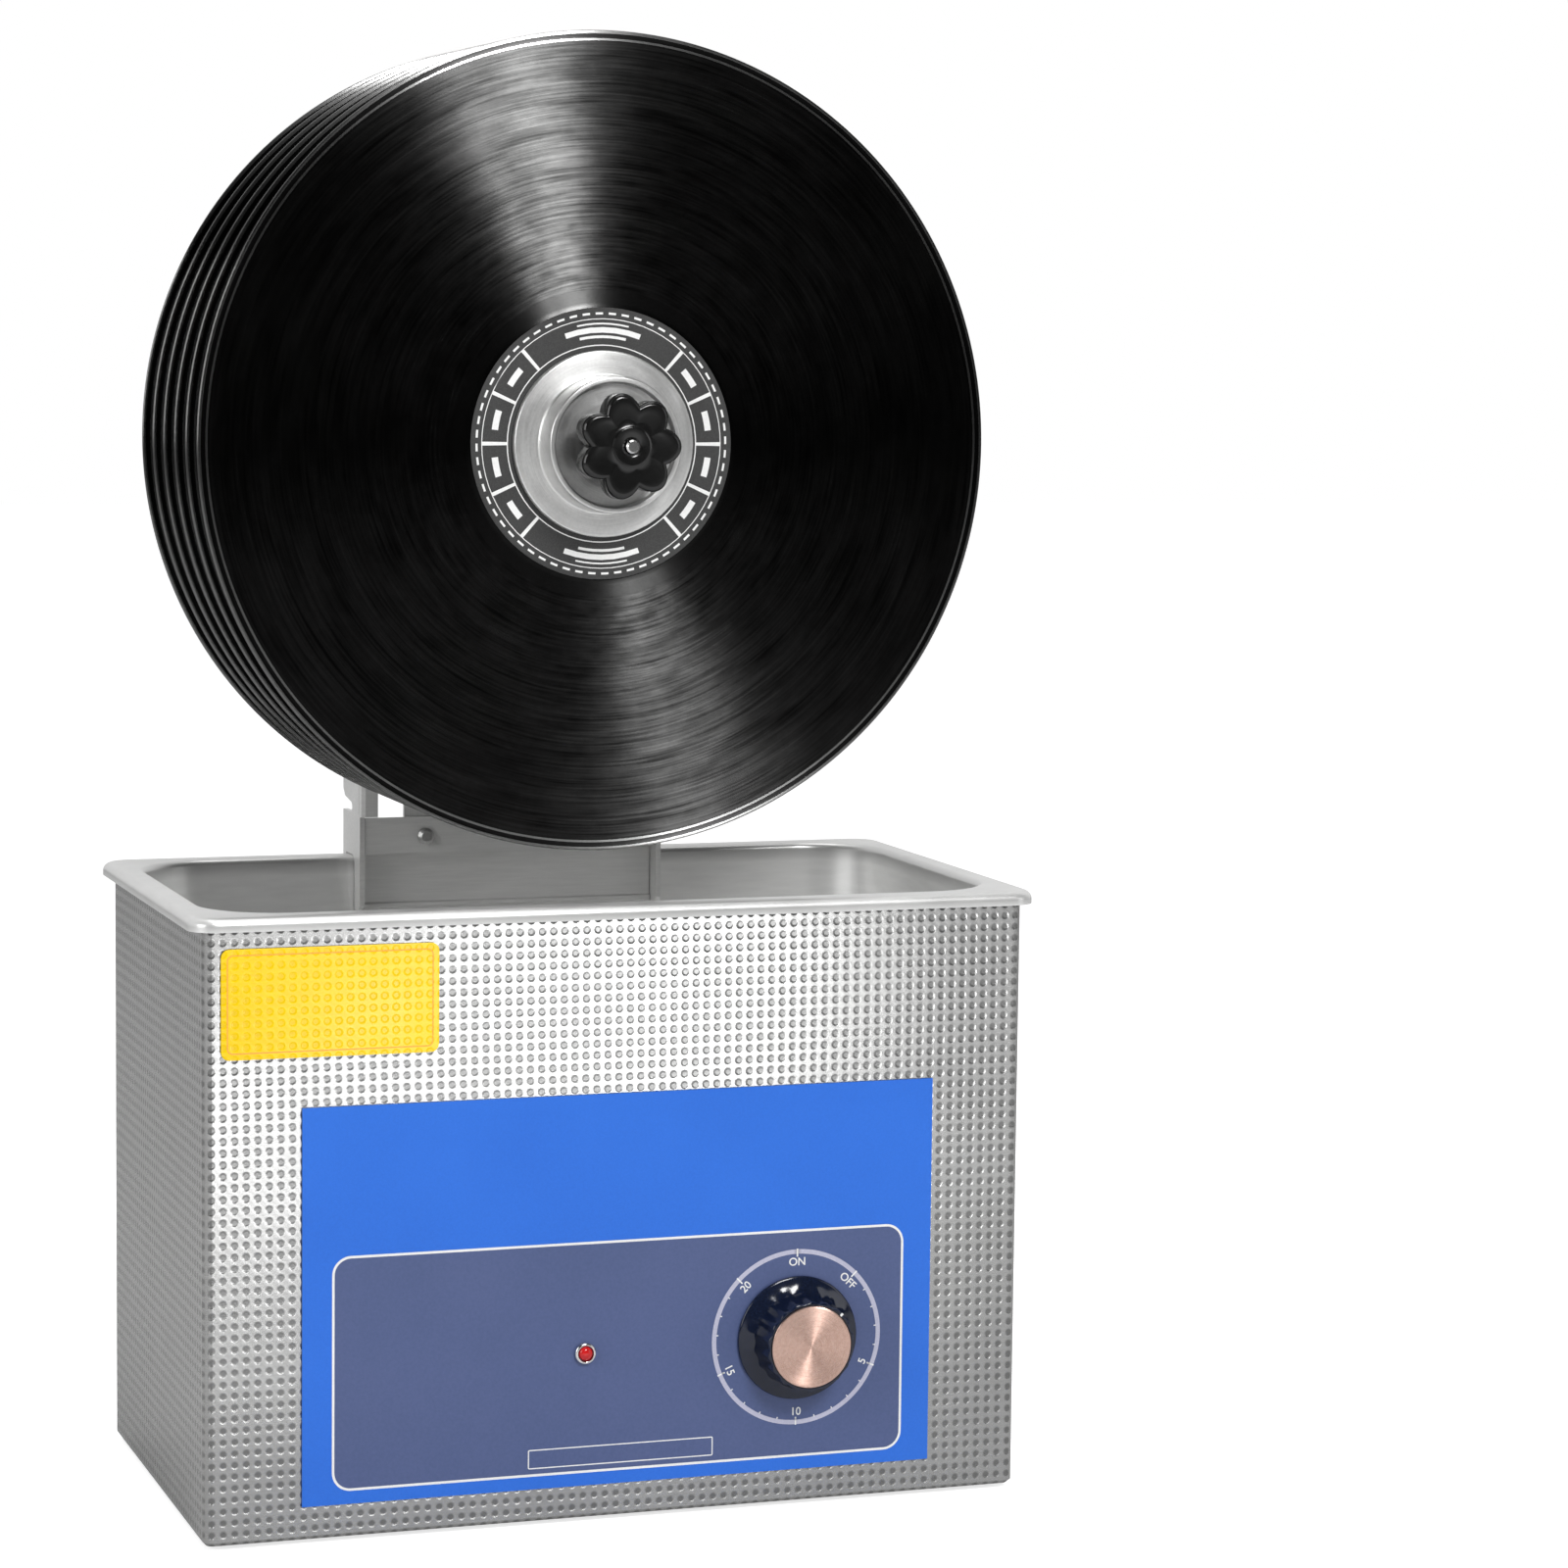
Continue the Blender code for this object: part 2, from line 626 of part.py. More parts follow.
def lamp():
    """A bright ring on the panel with a red domed lens through it."""
    place = (-LAMP_SIDE, KNOB_SEAT_Y, FOOT_HEIGHT + LAMP_HEIGHT)
    bore = LAMP_RADIUS + SEAT_GAP
    ring = [
        (bore, 0.0),
        (BEZEL_RADIUS, 0.0),
        (BEZEL_RADIUS, -BEZEL_REACH + EDGE_BREAK),
        (BEZEL_RADIUS - EDGE_BREAK, -BEZEL_REACH),
        (bore, -BEZEL_REACH),
    ]
    lathe("lamp_ring", ring, place, "shaft_steel")
    dome = [
        (LAMP_RADIUS, LAMP_STEM),
        (LAMP_RADIUS, -BEZEL_REACH),
        (LAMP_RADIUS * math.cos(math.pi / 6), -(BEZEL_REACH + LAMP_REACH) / 2),
        (LAMP_RADIUS / 2, -LAMP_REACH),
    ]
    lathe("lamp_lens", dome, place, "lamp_red", bored=False)


# Timer
def timer_body():
    """The clockwork block behind the front wall."""
    back = CASE_FRONT_Y + SHEET + SEAT_GAP
    middle = FOOT_HEIGHT + TIMER_HEIGHT
    low = (TIMER_SIDE - TIMER_WIDTH / 2, back, middle - TIMER_TALL / 2)
    high = (TIMER_SIDE + TIMER_WIDTH / 2, back + TIMER_DEEP, middle + TIMER_TALL / 2)
    box("timer_body", low, high, "timer_grey")


def fluted(radius, flute, along, flutes, steps):
    """A ring about Y whose radius dips once for each flute."""
    ring = []
    count = flutes * steps
    for k in range(count):
        angle = 2 * math.pi * k / count
        reach = radius - flute * (1 + math.cos(flutes * angle)) / 2
        ring.append((reach * math.cos(angle), along, reach * math.sin(angle)))
    return ring


def timer_knob():
    """Skirted, fluted knob with its stem; its origin is on the turning axis at the panel's face."""
    place = (TIMER_SIDE, KNOB_SEAT_Y, FOOT_HEIGHT + TIMER_HEIGHT)
    stem_end = CASE_FRONT_Y + SHEET - KNOB_SEAT_Y
    skirt = KNOB_SKIRT_RADIUS
    deep = KNOB_SKIRT_DEEP
    front = -KNOB_LENGTH
    grip = KNOB_GRIP_RADIUS
    seat = CAP_RADIUS + SEAT_GAP

    def ring(radius, along, flute=0.0):
        return fluted(radius, flute, along, KNOB_FLUTES, KNOB_FLUTE_STEPS)

    rings = [
        ring(KNOB_STEM_RADIUS, stem_end),
        ring(KNOB_STEM_RADIUS, 0.0),
        ring(skirt - EDGE_BREAK, 0.0),
        ring(skirt, -EDGE_BREAK),
        ring(skirt - EDGE_BREAK, -deep),
        ring(grip, -deep - EDGE_BREAK, KNOB_FLUTE),
        ring(KNOB_FACE_RADIUS, front + EDGE_BREAK, KNOB_FLUTE),
        ring(seat + EDGE_BREAK, front),
        ring(seat, front),
        ring(seat, front + CAP_SEAT),
    ]
    points, faces = stack(rings, False)
    make("timer_knob", points, faces, place, "knob_black")
    cap_back = CAP_BACK_Y - KNOB_SEAT_Y
    cap = [
        (CAP_RADIUS, cap_back),
        (CAP_RADIUS, cap_back - CAP_SHEET + EDGE_BREAK),
        (CAP_RADIUS - EDGE_BREAK, cap_back - CAP_SHEET),
    ]
    lathe("timer_knob_cap", cap, place, "knob_copper", RECORD_STEPS, False)


# Power inlet
def power_inlet():
    """Socket for a mains lead in the back wall: a lipped body with a well and three pins."""
    middle = FOOT_HEIGHT + INLET_HEIGHT
    half_x = INLET_WIDTH / 2
    half_z = INLET_TALL / 2
    face = CASE_BACK_Y + SEAT_GAP
    outer = face + INLET_LIP_SHEET
    low = (-INLET_SIDE - half_x - INLET_LIP, face, middle - half_z - INLET_LIP)
    high = (-INLET_SIDE + half_x + INLET_LIP, outer, middle + half_z + INLET_LIP)
    inlet = box("power_inlet", low, high, "inlet_black")
    low = (-INLET_SIDE - half_x, CASE_BACK_Y - INLET_DEEP, middle - half_z)
    high = (-INLET_SIDE + half_x, face + INLET_LIP_SHEET / 2, middle + half_z)
    join(inlet, box("inlet_body", low, high))
    wall = INLET_WELL_WALL
    well = outer - INLET_WELL_DEEP
    low = (-INLET_SIDE - half_x + wall, well, middle - half_z + wall)
    high = (-INLET_SIDE + half_x - wall, outer + wall, middle + half_z - wall)
    cut(inlet, box("inlet_well", low, high))
    for index, (shift, rise) in enumerate(((-1, -1), (0, 1), (1, -1))):
        x = -INLET_SIDE + shift * INLET_PIN_PITCH
        z = middle + rise * INLET_PIN_STEP
        low = (x - INLET_PIN_WIDTH / 2, well - wall, z - INLET_PIN_TALL / 2)
        high = (x + INLET_PIN_WIDTH / 2, well + INLET_PIN_DEEP, z + INLET_PIN_TALL / 2)
        join(inlet, box("inlet_pin_%d" % index, low, high))


# Transducers and generator
def transducers():
    """Four horn-and-stack transducers bonded under the tank's bottom."""
    top = RIM_TOP - TANK_DEPTH - SHEET - SEAT_GAP
    horn = -HORN_LENGTH
    piezo = horn - PIEZO_LENGTH
    tail = piezo - TAIL_LENGTH
    profile = [
        (HORN_RADIUS, 0.0),
        (HORN_RADIUS, horn / 4),
        (HORN_NECK_RADIUS, horn),
        (PIEZO_RADIUS, horn),
        (PIEZO_RADIUS, piezo),
        (TAIL_RADIUS, piezo),
        (TAIL_RADIUS, tail),
    ]
    turn = (QUARTER_TURN, 0.0, 0.0)
    side = TRANSDUCER_SIDE
    back = TRANSDUCER_BACK
    place = (-side, -back, top)
    first = lathe("transducer_front_left", profile, place, "horn_aluminium", ROUND_STEPS, False, turn)
    copy_of(first, "transducer_front_right", (side, -back, top), "horn_aluminium")
    copy_of(first, "transducer_back_left", (-side, back, top), "horn_aluminium")
    copy_of(first, "transducer_back_right", (side, back, top), "horn_aluminium")


def generator_board():
    """Circuit board on four legs, with its core, heat sink and two cans."""
    ground = FOOT_HEIGHT + SHEET + SEAT_GAP + SHEET + SEAT_GAP
    under = ground + BOARD_RISE
    over = under + BOARD_SHEET
    half_x = BOARD_WIDTH / 2
    half_y = BOARD_LONG / 2
    board = box("generator_board", (-half_x, -half_y, under), (half_x, half_y, over), "board_green")
    for index, (sx, sy) in enumerate(((-1, -1), (1, -1), (1, 1), (-1, 1))):
        x = sx * (half_x - BOARD_LEG)
        y = sy * (half_y - BOARD_LEG)
        low = (x - BOARD_LEG / 2, y - BOARD_LEG / 2, ground)
        high = (x + BOARD_LEG / 2, y + BOARD_LEG / 2, under + BOARD_SHEET / 2)
        join(board, box("board_leg_%d" % index, low, high))
    seat = over - BOARD_SHEET / 2
    low = (-CORE_WIDTH / 2, -CORE_LONG, seat)
    join(board, box("board_core", low, (CORE_WIDTH / 2, 0.0, over + CORE_TALL)))
    low = (-SINK_WIDTH / 2, CORE_LONG / 2, seat)
    high = (SINK_WIDTH / 2, CORE_LONG / 2 + SINK_LONG, over + SINK_TALL)
    join(board, box("board_sink", low, high))
    for index, side in enumerate((-1, 1)):
        place = (side * CORE_WIDTH, -CORE_LONG / 2, seat)
        profile = [(CAN_RADIUS, 0.0), (CAN_RADIUS, CAN_TALL)]
        turn = (QUARTER_TURN, 0.0, 0.0)
        join(board, lathe("board_can_%d" % index, profile, place, None, ROUND_STEPS, False, turn))


# Records and spindle stack
def record_mesh_profile():
    """Half of a pressed record from the hole to the edge and back."""
    thick = RECORD_MIDDLE_SHEET / 2
    thin = RECORD_SHEET / 2
    step = LABEL_RADIUS + LABEL_STEP
    rim = RECORD_RADIUS - thin
    return [
        (RECORD_HOLE, -thick),
        (LABEL_RADIUS, -thick),
        (step, -thin),
        (rim, -thin),
        (RECORD_RADIUS, 0.0),
        (rim, thin),
        (step, thin),
        (LABEL_RADIUS, thick),
        (RECORD_HOLE, thick),
    ]


def records():
    """The row of records on the spindle, the first at the front."""
    place = (0.0, FIRST_RECORD_Y, SPINDLE_Z)
    first = lathe("record_1", record_mesh_profile(), place, "record_black", RECORD_STEPS)
    for index in range(1, RECORD_COUNT):
        place = (0.0, FIRST_RECORD_Y + index * RECORD_PITCH, SPINDLE_Z)
        copy_of(first, "record_%d" % (index + 1), place, "record_black")


def spacers():
    """Flanged spools that hold the records apart."""
    half = (RECORD_PITCH - RECORD_MIDDLE_SHEET) / 2 - SEAT_GAP
    neck = half - SPACER_FLANGE
    profile = [
        (RECORD_HOLE, -half),
        (CLAMP_RADIUS, -half),
        (CLAMP_RADIUS, -neck),
        (SPACER_CORE, -neck),
        (SPACER_CORE, neck),
        (CLAMP_RADIUS, neck),
        (CLAMP_RADIUS, half),
        (RECORD_HOLE, half),
    ]
    first = None
    for index in range(RECORD_COUNT - 1):
        name = "spacer_%d" % (index + 1)
        y = FIRST_RECORD_Y + (index + 1 / 2) * RECORD_PITCH
        place = (0.0, y, SPINDLE_Z)
        if first is None:
            first = lathe(name, profile, place, "spacer_grey", STACK_STEPS)
        else:
            copy_of(first, name, place, "spacer_grey")


def front_label():
    """The thin dark label on the front record."""
    profile = [
        (RECORD_HOLE, -SEAT_GAP),
        (LABEL_RADIUS, -SEAT_GAP),
        (LABEL_RADIUS, -SEAT_GAP - LABEL_SHEET),
        (RECORD_HOLE, -SEAT_GAP - LABEL_SHEET),
    ]
    lathe("front_label", profile, (0.0, RECORD_FACE_Y, SPINDLE_Z), "label_dark", RECORD_STEPS)


def clamp_hub():
    """The front clamp disc with its raised hub and shallow well."""
    front = HUB_FRONT_Y - CLAMP_FACE_Y
    well = HUB_RADIUS - HUB_WALL
    profile = [
        (RECORD_HOLE, 0.0),
        (CLAMP_RADIUS, 0.0),
        (CLAMP_RADIUS, -CLAMP_SHEET + EDGE_BREAK),
        (CLAMP_RADIUS - EDGE_BREAK, -CLAMP_SHEET),
        (HUB_RADIUS, -CLAMP_SHEET),
        (HUB_RADIUS, front + EDGE_BREAK),
        (HUB_RADIUS - EDGE_BREAK, front),
        (well, front),
        (well, front + HUB_WELL),
        (RECORD_HOLE, front + HUB_WELL),
    ]
    lathe("clamp_hub", profile, (0.0, CLAMP_FACE_Y, SPINDLE_Z), "clamp_metal", STACK_STEPS)


def rear_flange():
    """The backing disc behind the last record."""
    start = LAST_RECORD_Y + RECORD_MIDDLE_SHEET / 2 + SEAT_GAP
    hub_end = TUBE_FRONT - SEAT_GAP - start
    profile = [
        (RECORD_HOLE, 0.0),
        (CLAMP_RADIUS, 0.0),
        (CLAMP_RADIUS, hub_end / 2),
        (REAR_HUB_RADIUS, hub_end / 2),
        (REAR_HUB_RADIUS, hub_end),
        (RECORD_HOLE, hub_end),
    ]
    lathe("rear_flange", profile, (0.0, start, SPINDLE_Z), "clamp_metal", STACK_STEPS)


def spindle_shaft():
    """The driven shaft, stepped down to the threaded stud for the star knob."""
    shoulder = HUB_FRONT_Y + HUB_WELL + EDGE_BREAK
    end = GEARBOX_FRONT_Y + SHAFT_INSERT
    profile = [
        (SHAFT_RADIUS, end),
        (SHAFT_RADIUS, shoulder),
        (STUD_RADIUS, shoulder),
        (STUD_RADIUS, STUD_FRONT_Y + EDGE_BREAK),
        (STUD_RADIUS - EDGE_BREAK, STUD_FRONT_Y),
    ]
    lathe("spindle_shaft", profile, (0.0, 0.0, SPINDLE_Z), "shaft_steel", bored=False)


def star_ring(tip, valley, along):
    """A lobed ring about Y: broad tips and rounded valleys."""
    ring = []
    count = STAR_LOBES * STAR_LOBE_STEPS
    for k in range(count):
        angle = 2 * math.pi * k / count
        wave = (1 + math.cos(STAR_LOBES * angle)) / 2
        reach = valley + (tip - valley) * math.sqrt(wave)
        ring.append((reach * math.cos(angle), along, reach * math.sin(angle)))
    return ring


def star_knob():
    """The clamping knob: seven lobes, a neck behind and a boss in front; its origin is on its axis."""
    bore = STUD_RADIUS + SEAT_GAP
    neck_end = HUB_FRONT_Y + HUB_WELL - SEAT_GAP
    front = STAR_FRONT_Y
    back = front + STAR_DEEP
    rounding = STAR_ROUND
    boss = front - STAR_BOSS_RISE
    tip = STAR_RADIUS
    valley = STAR_VALLEY
    rings = [
        star_ring(bore, bore, neck_end),
        star_ring(STAR_NECK, STAR_NECK, neck_end),
        star_ring(STAR_NECK, STAR_NECK, back),
        star_ring(tip - rounding, valley - rounding, back),
        star_ring(tip, valley, back - rounding),
        star_ring(tip, valley, front + rounding),
        star_ring(tip - rounding, valley - rounding, front),
        star_ring(STAR_BOSS, STAR_BOSS, front),
        star_ring(STAR_BOSS - EDGE_BREAK, STAR_BOSS - EDGE_BREAK, boss),
        star_ring(bore, bore, boss),
    ]
    points, faces = stack(rings, True)
    make("star_knob", points, faces, (0.0, 0.0, SPINDLE_Z), "star_black")


# Hanger on the back rim
def notch_levels():
    """Heights of the latch notches, highest first."""
    step = LIFT_TRAVEL / (NOTCH_COUNT - 1)
    return [LATCH_Z - index * step for index in range(NOTCH_COUNT)]


def cheek_outline():
    """The cheek seen from the side: leg in the tank, slot over the rim, tail behind and notches."""
    slot_roof = RIM_TOP + SEAT_GAP
    tank_face = TANK_BACK_Y - INSIDE_GAP
    rim_face = RIM_BACK_Y + RIM_SLOT_GAP
    tip = RIM_TOP - CHEEK_TIP
    turn_low = RIM_TOP + BAND_TOP + SEAT_GAP
    top = LATCH_Z + CHEEK_ABOVE_NOTCH
    step_y = CHEEK_FRONT + CHEEK_SHEET
    outline = [
        (step_y, turn_low),
        (CHEEK_FRONT, turn_low),
        (CHEEK_FRONT, tip),
        (CHEEK_FRONT + CHEEK_TIP_SLANT, tip - CHEEK_TIP_SLANT),
        (tank_face, tip - CHEEK_TIP_SLANT),
        (tank_face, slot_roof - TANK_LIP),
        (tank_face + TANK_LIP, slot_roof),
        (rim_face, slot_roof),
        (rim_face, RIM_TOP - CHEEK_TAIL),
        (CHEEK_BACK, RIM_TOP - CHEEK_TAIL),
    ]
    slant = NOTCH_HALF * math.sin(math.pi / 4)
    for level in reversed(notch_levels()):
        floor = level - NOTCH_HALF
        roof = level + NOTCH_HALF
        lead = CHEEK_BACK - NOTCH_LEAD
        outline += [
            (CHEEK_BACK, floor),
            (NOTCH_END_Y, floor),
            (NOTCH_END_Y - slant, level - slant),
            (NOTCH_END_Y - NOTCH_HALF, level),
            (NOTCH_END_Y - slant, level + slant),
            (NOTCH_END_Y, roof),
            (lead, roof + NOTCH_ROOF_RISE),
            (CHEEK_BACK, roof + NOTCH_LEAD_RISE),
        ]
    outline += [
        (CHEEK_BACK, top - CHEEK_TOP_ROUND),
        (CHEEK_BACK - CHEEK_TOP_ROUND, top),
        (step_y, top),
    ]
    return outline


def cheek(name, side):
    """One notched cheek with its front edge turned inward above the cross band."""
    inner = CHEEK_OUT - CHEEK_SHEET
    edges = sorted((side * inner, side * CHEEK_OUT))
    item = side_cut(name, cheek_outline(), edges[0], edges[1], (0.0, 0.0, 0.0), "hanger_steel")
    turned = CHEEK_OUT - CHEEK_TURN_WIDTH
    back = CHEEK_FRONT + CHEEK_SHEET
    deep = back + CHEEK_BEND
    bend = CHEEK_BEND
    soft = bend * (1 - math.cos(math.pi / 4))
    outline = [
        (turned, CHEEK_FRONT),
        (CHEEK_OUT - bend, CHEEK_FRONT),
        (CHEEK_OUT - soft, CHEEK_FRONT + soft),
        (CHEEK_OUT, CHEEK_FRONT + bend),
        (CHEEK_OUT, deep),
        (inner, deep),
        (inner, back),
        (turned, back),
    ]
    low = RIM_TOP + BAND_TOP + SEAT_GAP
    high = LATCH_Z + CHEEK_ABOVE_NOTCH
    section = [(side * x, y) for x, y in outline]
    join(item, level_cut(name + "_turn", section, low, high))


def cross_band():
    """The folded band between the cheeks: upright face, ledge and apron with a hemmed edge."""
    front = BAND_FRONT
    back = BAND_FRONT + BAND_SHEET
    bottom = RIM_TOP + BAND_LEDGE
    ledge = bottom + BAND_SHEET
    apron_back = TANK_BACK_Y - INSIDE_GAP
    apron = apron_back - BAND_SHEET
    low = RIM_TOP - APRON_DROP
    hem = HEM_RADIUS
    outline = [
        (front, RIM_TOP + BAND_TOP),
        (front, bottom),
        (apron, bottom),
        (apron, low + hem * 2),
        (apron - hem, low + hem + hem / 2),
        (apron - hem, low + hem / 2),
        (apron, low),
        (apron_back, low),
        (apron_back, ledge),
        (back, ledge),
        (back, RIM_TOP + BAND_TOP),
    ]
    half = CHEEK_OUT - CHEEK_SHEET - SEAT_GAP
    band = side_cut("cross_band", outline, -half, half, (0.0, 0.0, 0.0), "hanger_steel")
    cut(band, screw_bore("band_bore_left", -1))
    cut(band, screw_bore("band_bore_right", 1))


def screw_bore(name, side):
    """A cutter for one mast screw, through band and mast."""
    radius = SCREW_RADIUS + SEAT_GAP
    reach = NUT_DEEP + MAST_SHEET
    profile = [(radius, -reach), (radius, reach)]
    place = (side * SCREW_SIDE, MAST_FRONT_Y, RIM_TOP + SCREW_HEIGHT)
    return lathe(name, profile, place, steps=SCREW_STEPS, bored=False)


def mast():
    """The slotted plate that the carriage slides on."""
    low = RIM_TOP + BAND_LEDGE + BAND_SHEET + SEAT_GAP
    high = SPINDLE_Z + MAST_ABOVE
    half_z = (high - low) / 2
    plate = upright(
        "mast",
        MAST_HALF_WIDTH,
        half_z,
        MAST_CORNER,
        MAST_FRONT_Y,
        MAST_BACK_Y,
        0.0,
        (high + low) / 2,
        "mast_steel",
    )
    radius = TUBE_RADIUS + MAST_SLOT_GAP
    half_slot = LIFT_TRAVEL / 2 + radius + EDGE_BREAK
    middle = SPINDLE_Z - LIFT_TRAVEL / 2
    corner = radius - EDGE_BREAK
    front = MAST_FRONT_Y - MAST_SHEET
    back = MAST_BACK_Y + MAST_SHEET
    cut(plate, upright("mast_slot", radius, half_slot, corner, front, back, 0.0, middle))
    cut(plate, screw_bore("mast_bore_left", -1))
    cut(plate, screw_bore("mast_bore_right", 1))


def mast_screws():
    """Two screws with nuts that hold the mast to the cross band."""
    head = BAND_FRONT - SEAT_GAP
    nut = MAST_BACK_Y + SEAT_GAP
    end = nut + NUT_DEEP
    for word, side in (("left", -1), ("right", 1)):
        place = (side * SCREW_SIDE, 0.0, RIM_TOP + SCREW_HEIGHT)
        profile = [
            (SCREW_RADIUS, nut + NUT_DEEP / 2),
            (SCREW_RADIUS, head),
            (SCREW_HEAD_RADIUS, head),
            (SCREW_HEAD_RADIUS, head - SCREW_HEAD_DEEP / 2),
            (SCREW_RADIUS, head - SCREW_HEAD_DEEP),
        ]
        screw = lathe("mast_screw_" + word, profile, place, "screw_steel", SCREW_STEPS, False)
        block = [(NUT_RADIUS, nut), (NUT_RADIUS, end)]
        join(screw, lathe("mast_nut_" + word, block, place, None, NUT_SIDES, False))


def rim_clamp():
    """The plate between the cheeks' tails, bored for the two thumb screws."""
    half = CHEEK_OUT - CHEEK_SHEET - SEAT_GAP
    low = (-half, CLAMP_PLATE_FRONT, RIM_TOP - CLAMP_PLATE_LOW)
    high = (half, CLAMP_PLATE_FRONT + CLAMP_PLATE_SHEET, RIM_TOP - CLAMP_PLATE_HIGH)
    plate = box("rim_clamp_plate", low, high, "hanger_steel")
    radius = THUMB_RADIUS + SEAT_GAP
    bore = [(radius, 0.0), (radius, THUMB_LENGTH)]
    for word, side in (("left", -1), ("right", 1)):
        place = (side * THUMB_SIDE, CASE_BACK_Y + SEAT_GAP, RIM_TOP - THUMB_DROP)
        cut(plate, lathe("thumb_bore_" + word, bore, place, steps=SCREW_STEPS, bored=False))


def thumb_screws():
    """Two fluted thumb screws, their tips against the case's back."""

    def ring(reach, along, flute=0.0):
        return fluted(reach, flute, along, THUMB_FLUTES, THUMB_FLUTE_STEPS)

    head = THUMB_LENGTH - THUMB_HEAD_DEEP
    rings = [
        ring(THUMB_RADIUS - EDGE_BREAK, 0.0),
        ring(THUMB_RADIUS, EDGE_BREAK),
        ring(THUMB_RADIUS, head),
        ring(THUMB_HEAD_RADIUS, head, THUMB_FLUTE),
        ring(THUMB_HEAD_RADIUS, THUMB_LENGTH - EDGE_BREAK, THUMB_FLUTE),
        ring(THUMB_HEAD_RADIUS - EDGE_BREAK, THUMB_LENGTH),
    ]
    points, faces = stack(rings, False)
    for word, side in (("left", -1), ("right", 1)):
        place = (side * THUMB_SIDE, CASE_BACK_Y + SEAT_GAP, RIM_TOP - THUMB_DROP)
        make("thumb_screw_" + word, points, faces, place, "thumb_brass")


# Carriage
def slider_sleeve():
    """The flat tube round the mast, bored for the bearing."""
    half_x = MAST_HALF_WIDTH + SEAT_GAP + SLEEVE_SIDE_WALL
    low = SPINDLE_Z - SLEEVE_BELOW
    high = SPINDLE_Z + SLEEVE_ABOVE
    half_y = (SLEEVE_BACK_Y - SLEEVE_FRONT_Y) / 2
    middle_y = (SLEEVE_BACK_Y + SLEEVE_FRONT_Y) / 2
    corner = SLEEVE_CORNER
    sleeve = slab("slider_sleeve", half_x, half_y, corner, -SLEEVE_BELOW, SLEEVE_ABOVE, "sleeve_grey")
    sleeve.location = (0.0, middle_y, SPINDLE_Z)
    inner_x = MAST_HALF_WIDTH + SEAT_GAP
    corner_low = (-inner_x, MAST_FRONT_Y - SEAT_GAP, low - SLEEVE_WALL)
    corner_high = (inner_x, MAST_BACK_Y + SEAT_GAP, high + SLEEVE_WALL)
    cut(sleeve, box("sleeve_channel", corner_low, corner_high))
    radius = TUBE_RADIUS + SEAT_GAP
    bore = [(radius, SLEEVE_FRONT_Y - SLEEVE_WALL), (radius, SLEEVE_BACK_Y + SLEEVE_WALL)]
    cut(sleeve, lathe("sleeve_bore", bore, (0.0, 0.0, SPINDLE_Z), bored=False))


def bearing_tube():
    """The plain bearing of the shaft, through the sleeve and the mast's slot."""
    bore = RECORD_HOLE
    profile = [
        (bore, TUBE_FRONT),
        (TUBE_RADIUS, TUBE_FRONT),
        (TUBE_RADIUS, SLEEVE_BACK_Y),
        (bore, SLEEVE_BACK_Y),
    ]
    lathe("bearing_tube", profile, (0.0, 0.0, SPINDLE_Z), "bearing_bronze")


def gear_motor():
    """Gearbox, motor can and rear cap with a small round socket."""
    place = (0.0, 0.0, SPINDLE_Z)
    start = GEARBOX_FRONT_Y
    end = start + GEARBOX_LENGTH
    bore = RECORD_HOLE
    depth = start + SHAFT_INSERT + SEAT_GAP
    gearbox = [
        (bore, depth),
        (bore, start),
        (GEARBOX_RADIUS, start),
        (GEARBOX_RADIUS, end),
    ]
    lathe("gearbox", gearbox, place, "motor_steel", STACK_STEPS, False)
    can_start = end + SEAT_GAP
    can_end = can_start + MOTOR_LENGTH
    can = [
        (MOTOR_RADIUS, can_start),
        (MOTOR_RADIUS, can_end - EDGE_BREAK),
        (MOTOR_RADIUS - EDGE_BREAK, can_end),
    ]
    lathe("motor_can", can, place, "motor_steel", STACK_STEPS, False)
    cap_start = can_end + SEAT_GAP
    cap_end = cap_start + MOTOR_CAP_LENGTH
    tip = cap_end + JACK_LENGTH
    cap = [
        (MOTOR_CAP_RADIUS, cap_start),
        (MOTOR_CAP_RADIUS, cap_end),
        (JACK_RADIUS, cap_end),
        (JACK_RADIUS, tip),
        (JACK_WELL_RADIUS, tip),
        (JACK_WELL_RADIUS, tip - JACK_WELL_DEEP),
    ]
    lathe("motor_cap", cap, place, "motor_black", ROUND_STEPS, False)


def latch_lugs():
    """Two slotted lugs behind the sleeve that carry the latch bar."""
    start = SLEEVE_BACK_Y + SEAT_GAP
    radius = LATCH_RADIUS + SEAT_GAP
    end = LATCH_Y + radius + LUG_SHEET
    outline = [
        (start, -LUG_HALF),
        (end, -LUG_HALF),
        (end, LUG_HALF),
        (start, LUG_HALF),
    ]
    slot = [
        (NOTCH_END_Y - radius, -radius),
        (LATCH_Y + radius, -radius),
        (LATCH_Y + radius, radius),
        (NOTCH_END_Y - radius, radius),
    ]
    for word, side in (("left", -1), ("right", 1)):
        edges = sorted((side * LUG_SIDE, side * (LUG_SIDE + LUG_SHEET)))
        place = (0.0, 0.0, LATCH_Z)
        lug = side_cut("latch_lug_" + word, outline, edges[0], edges[1], place, "sleeve_grey")
        reach = sorted((side * (LUG_SIDE - LUG_SHEET), side * (LUG_SIDE + LUG_SHEET + LUG_SHEET)))
        cut(lug, side_cut("latch_slot_" + word, slot, reach[0], reach[1], place))


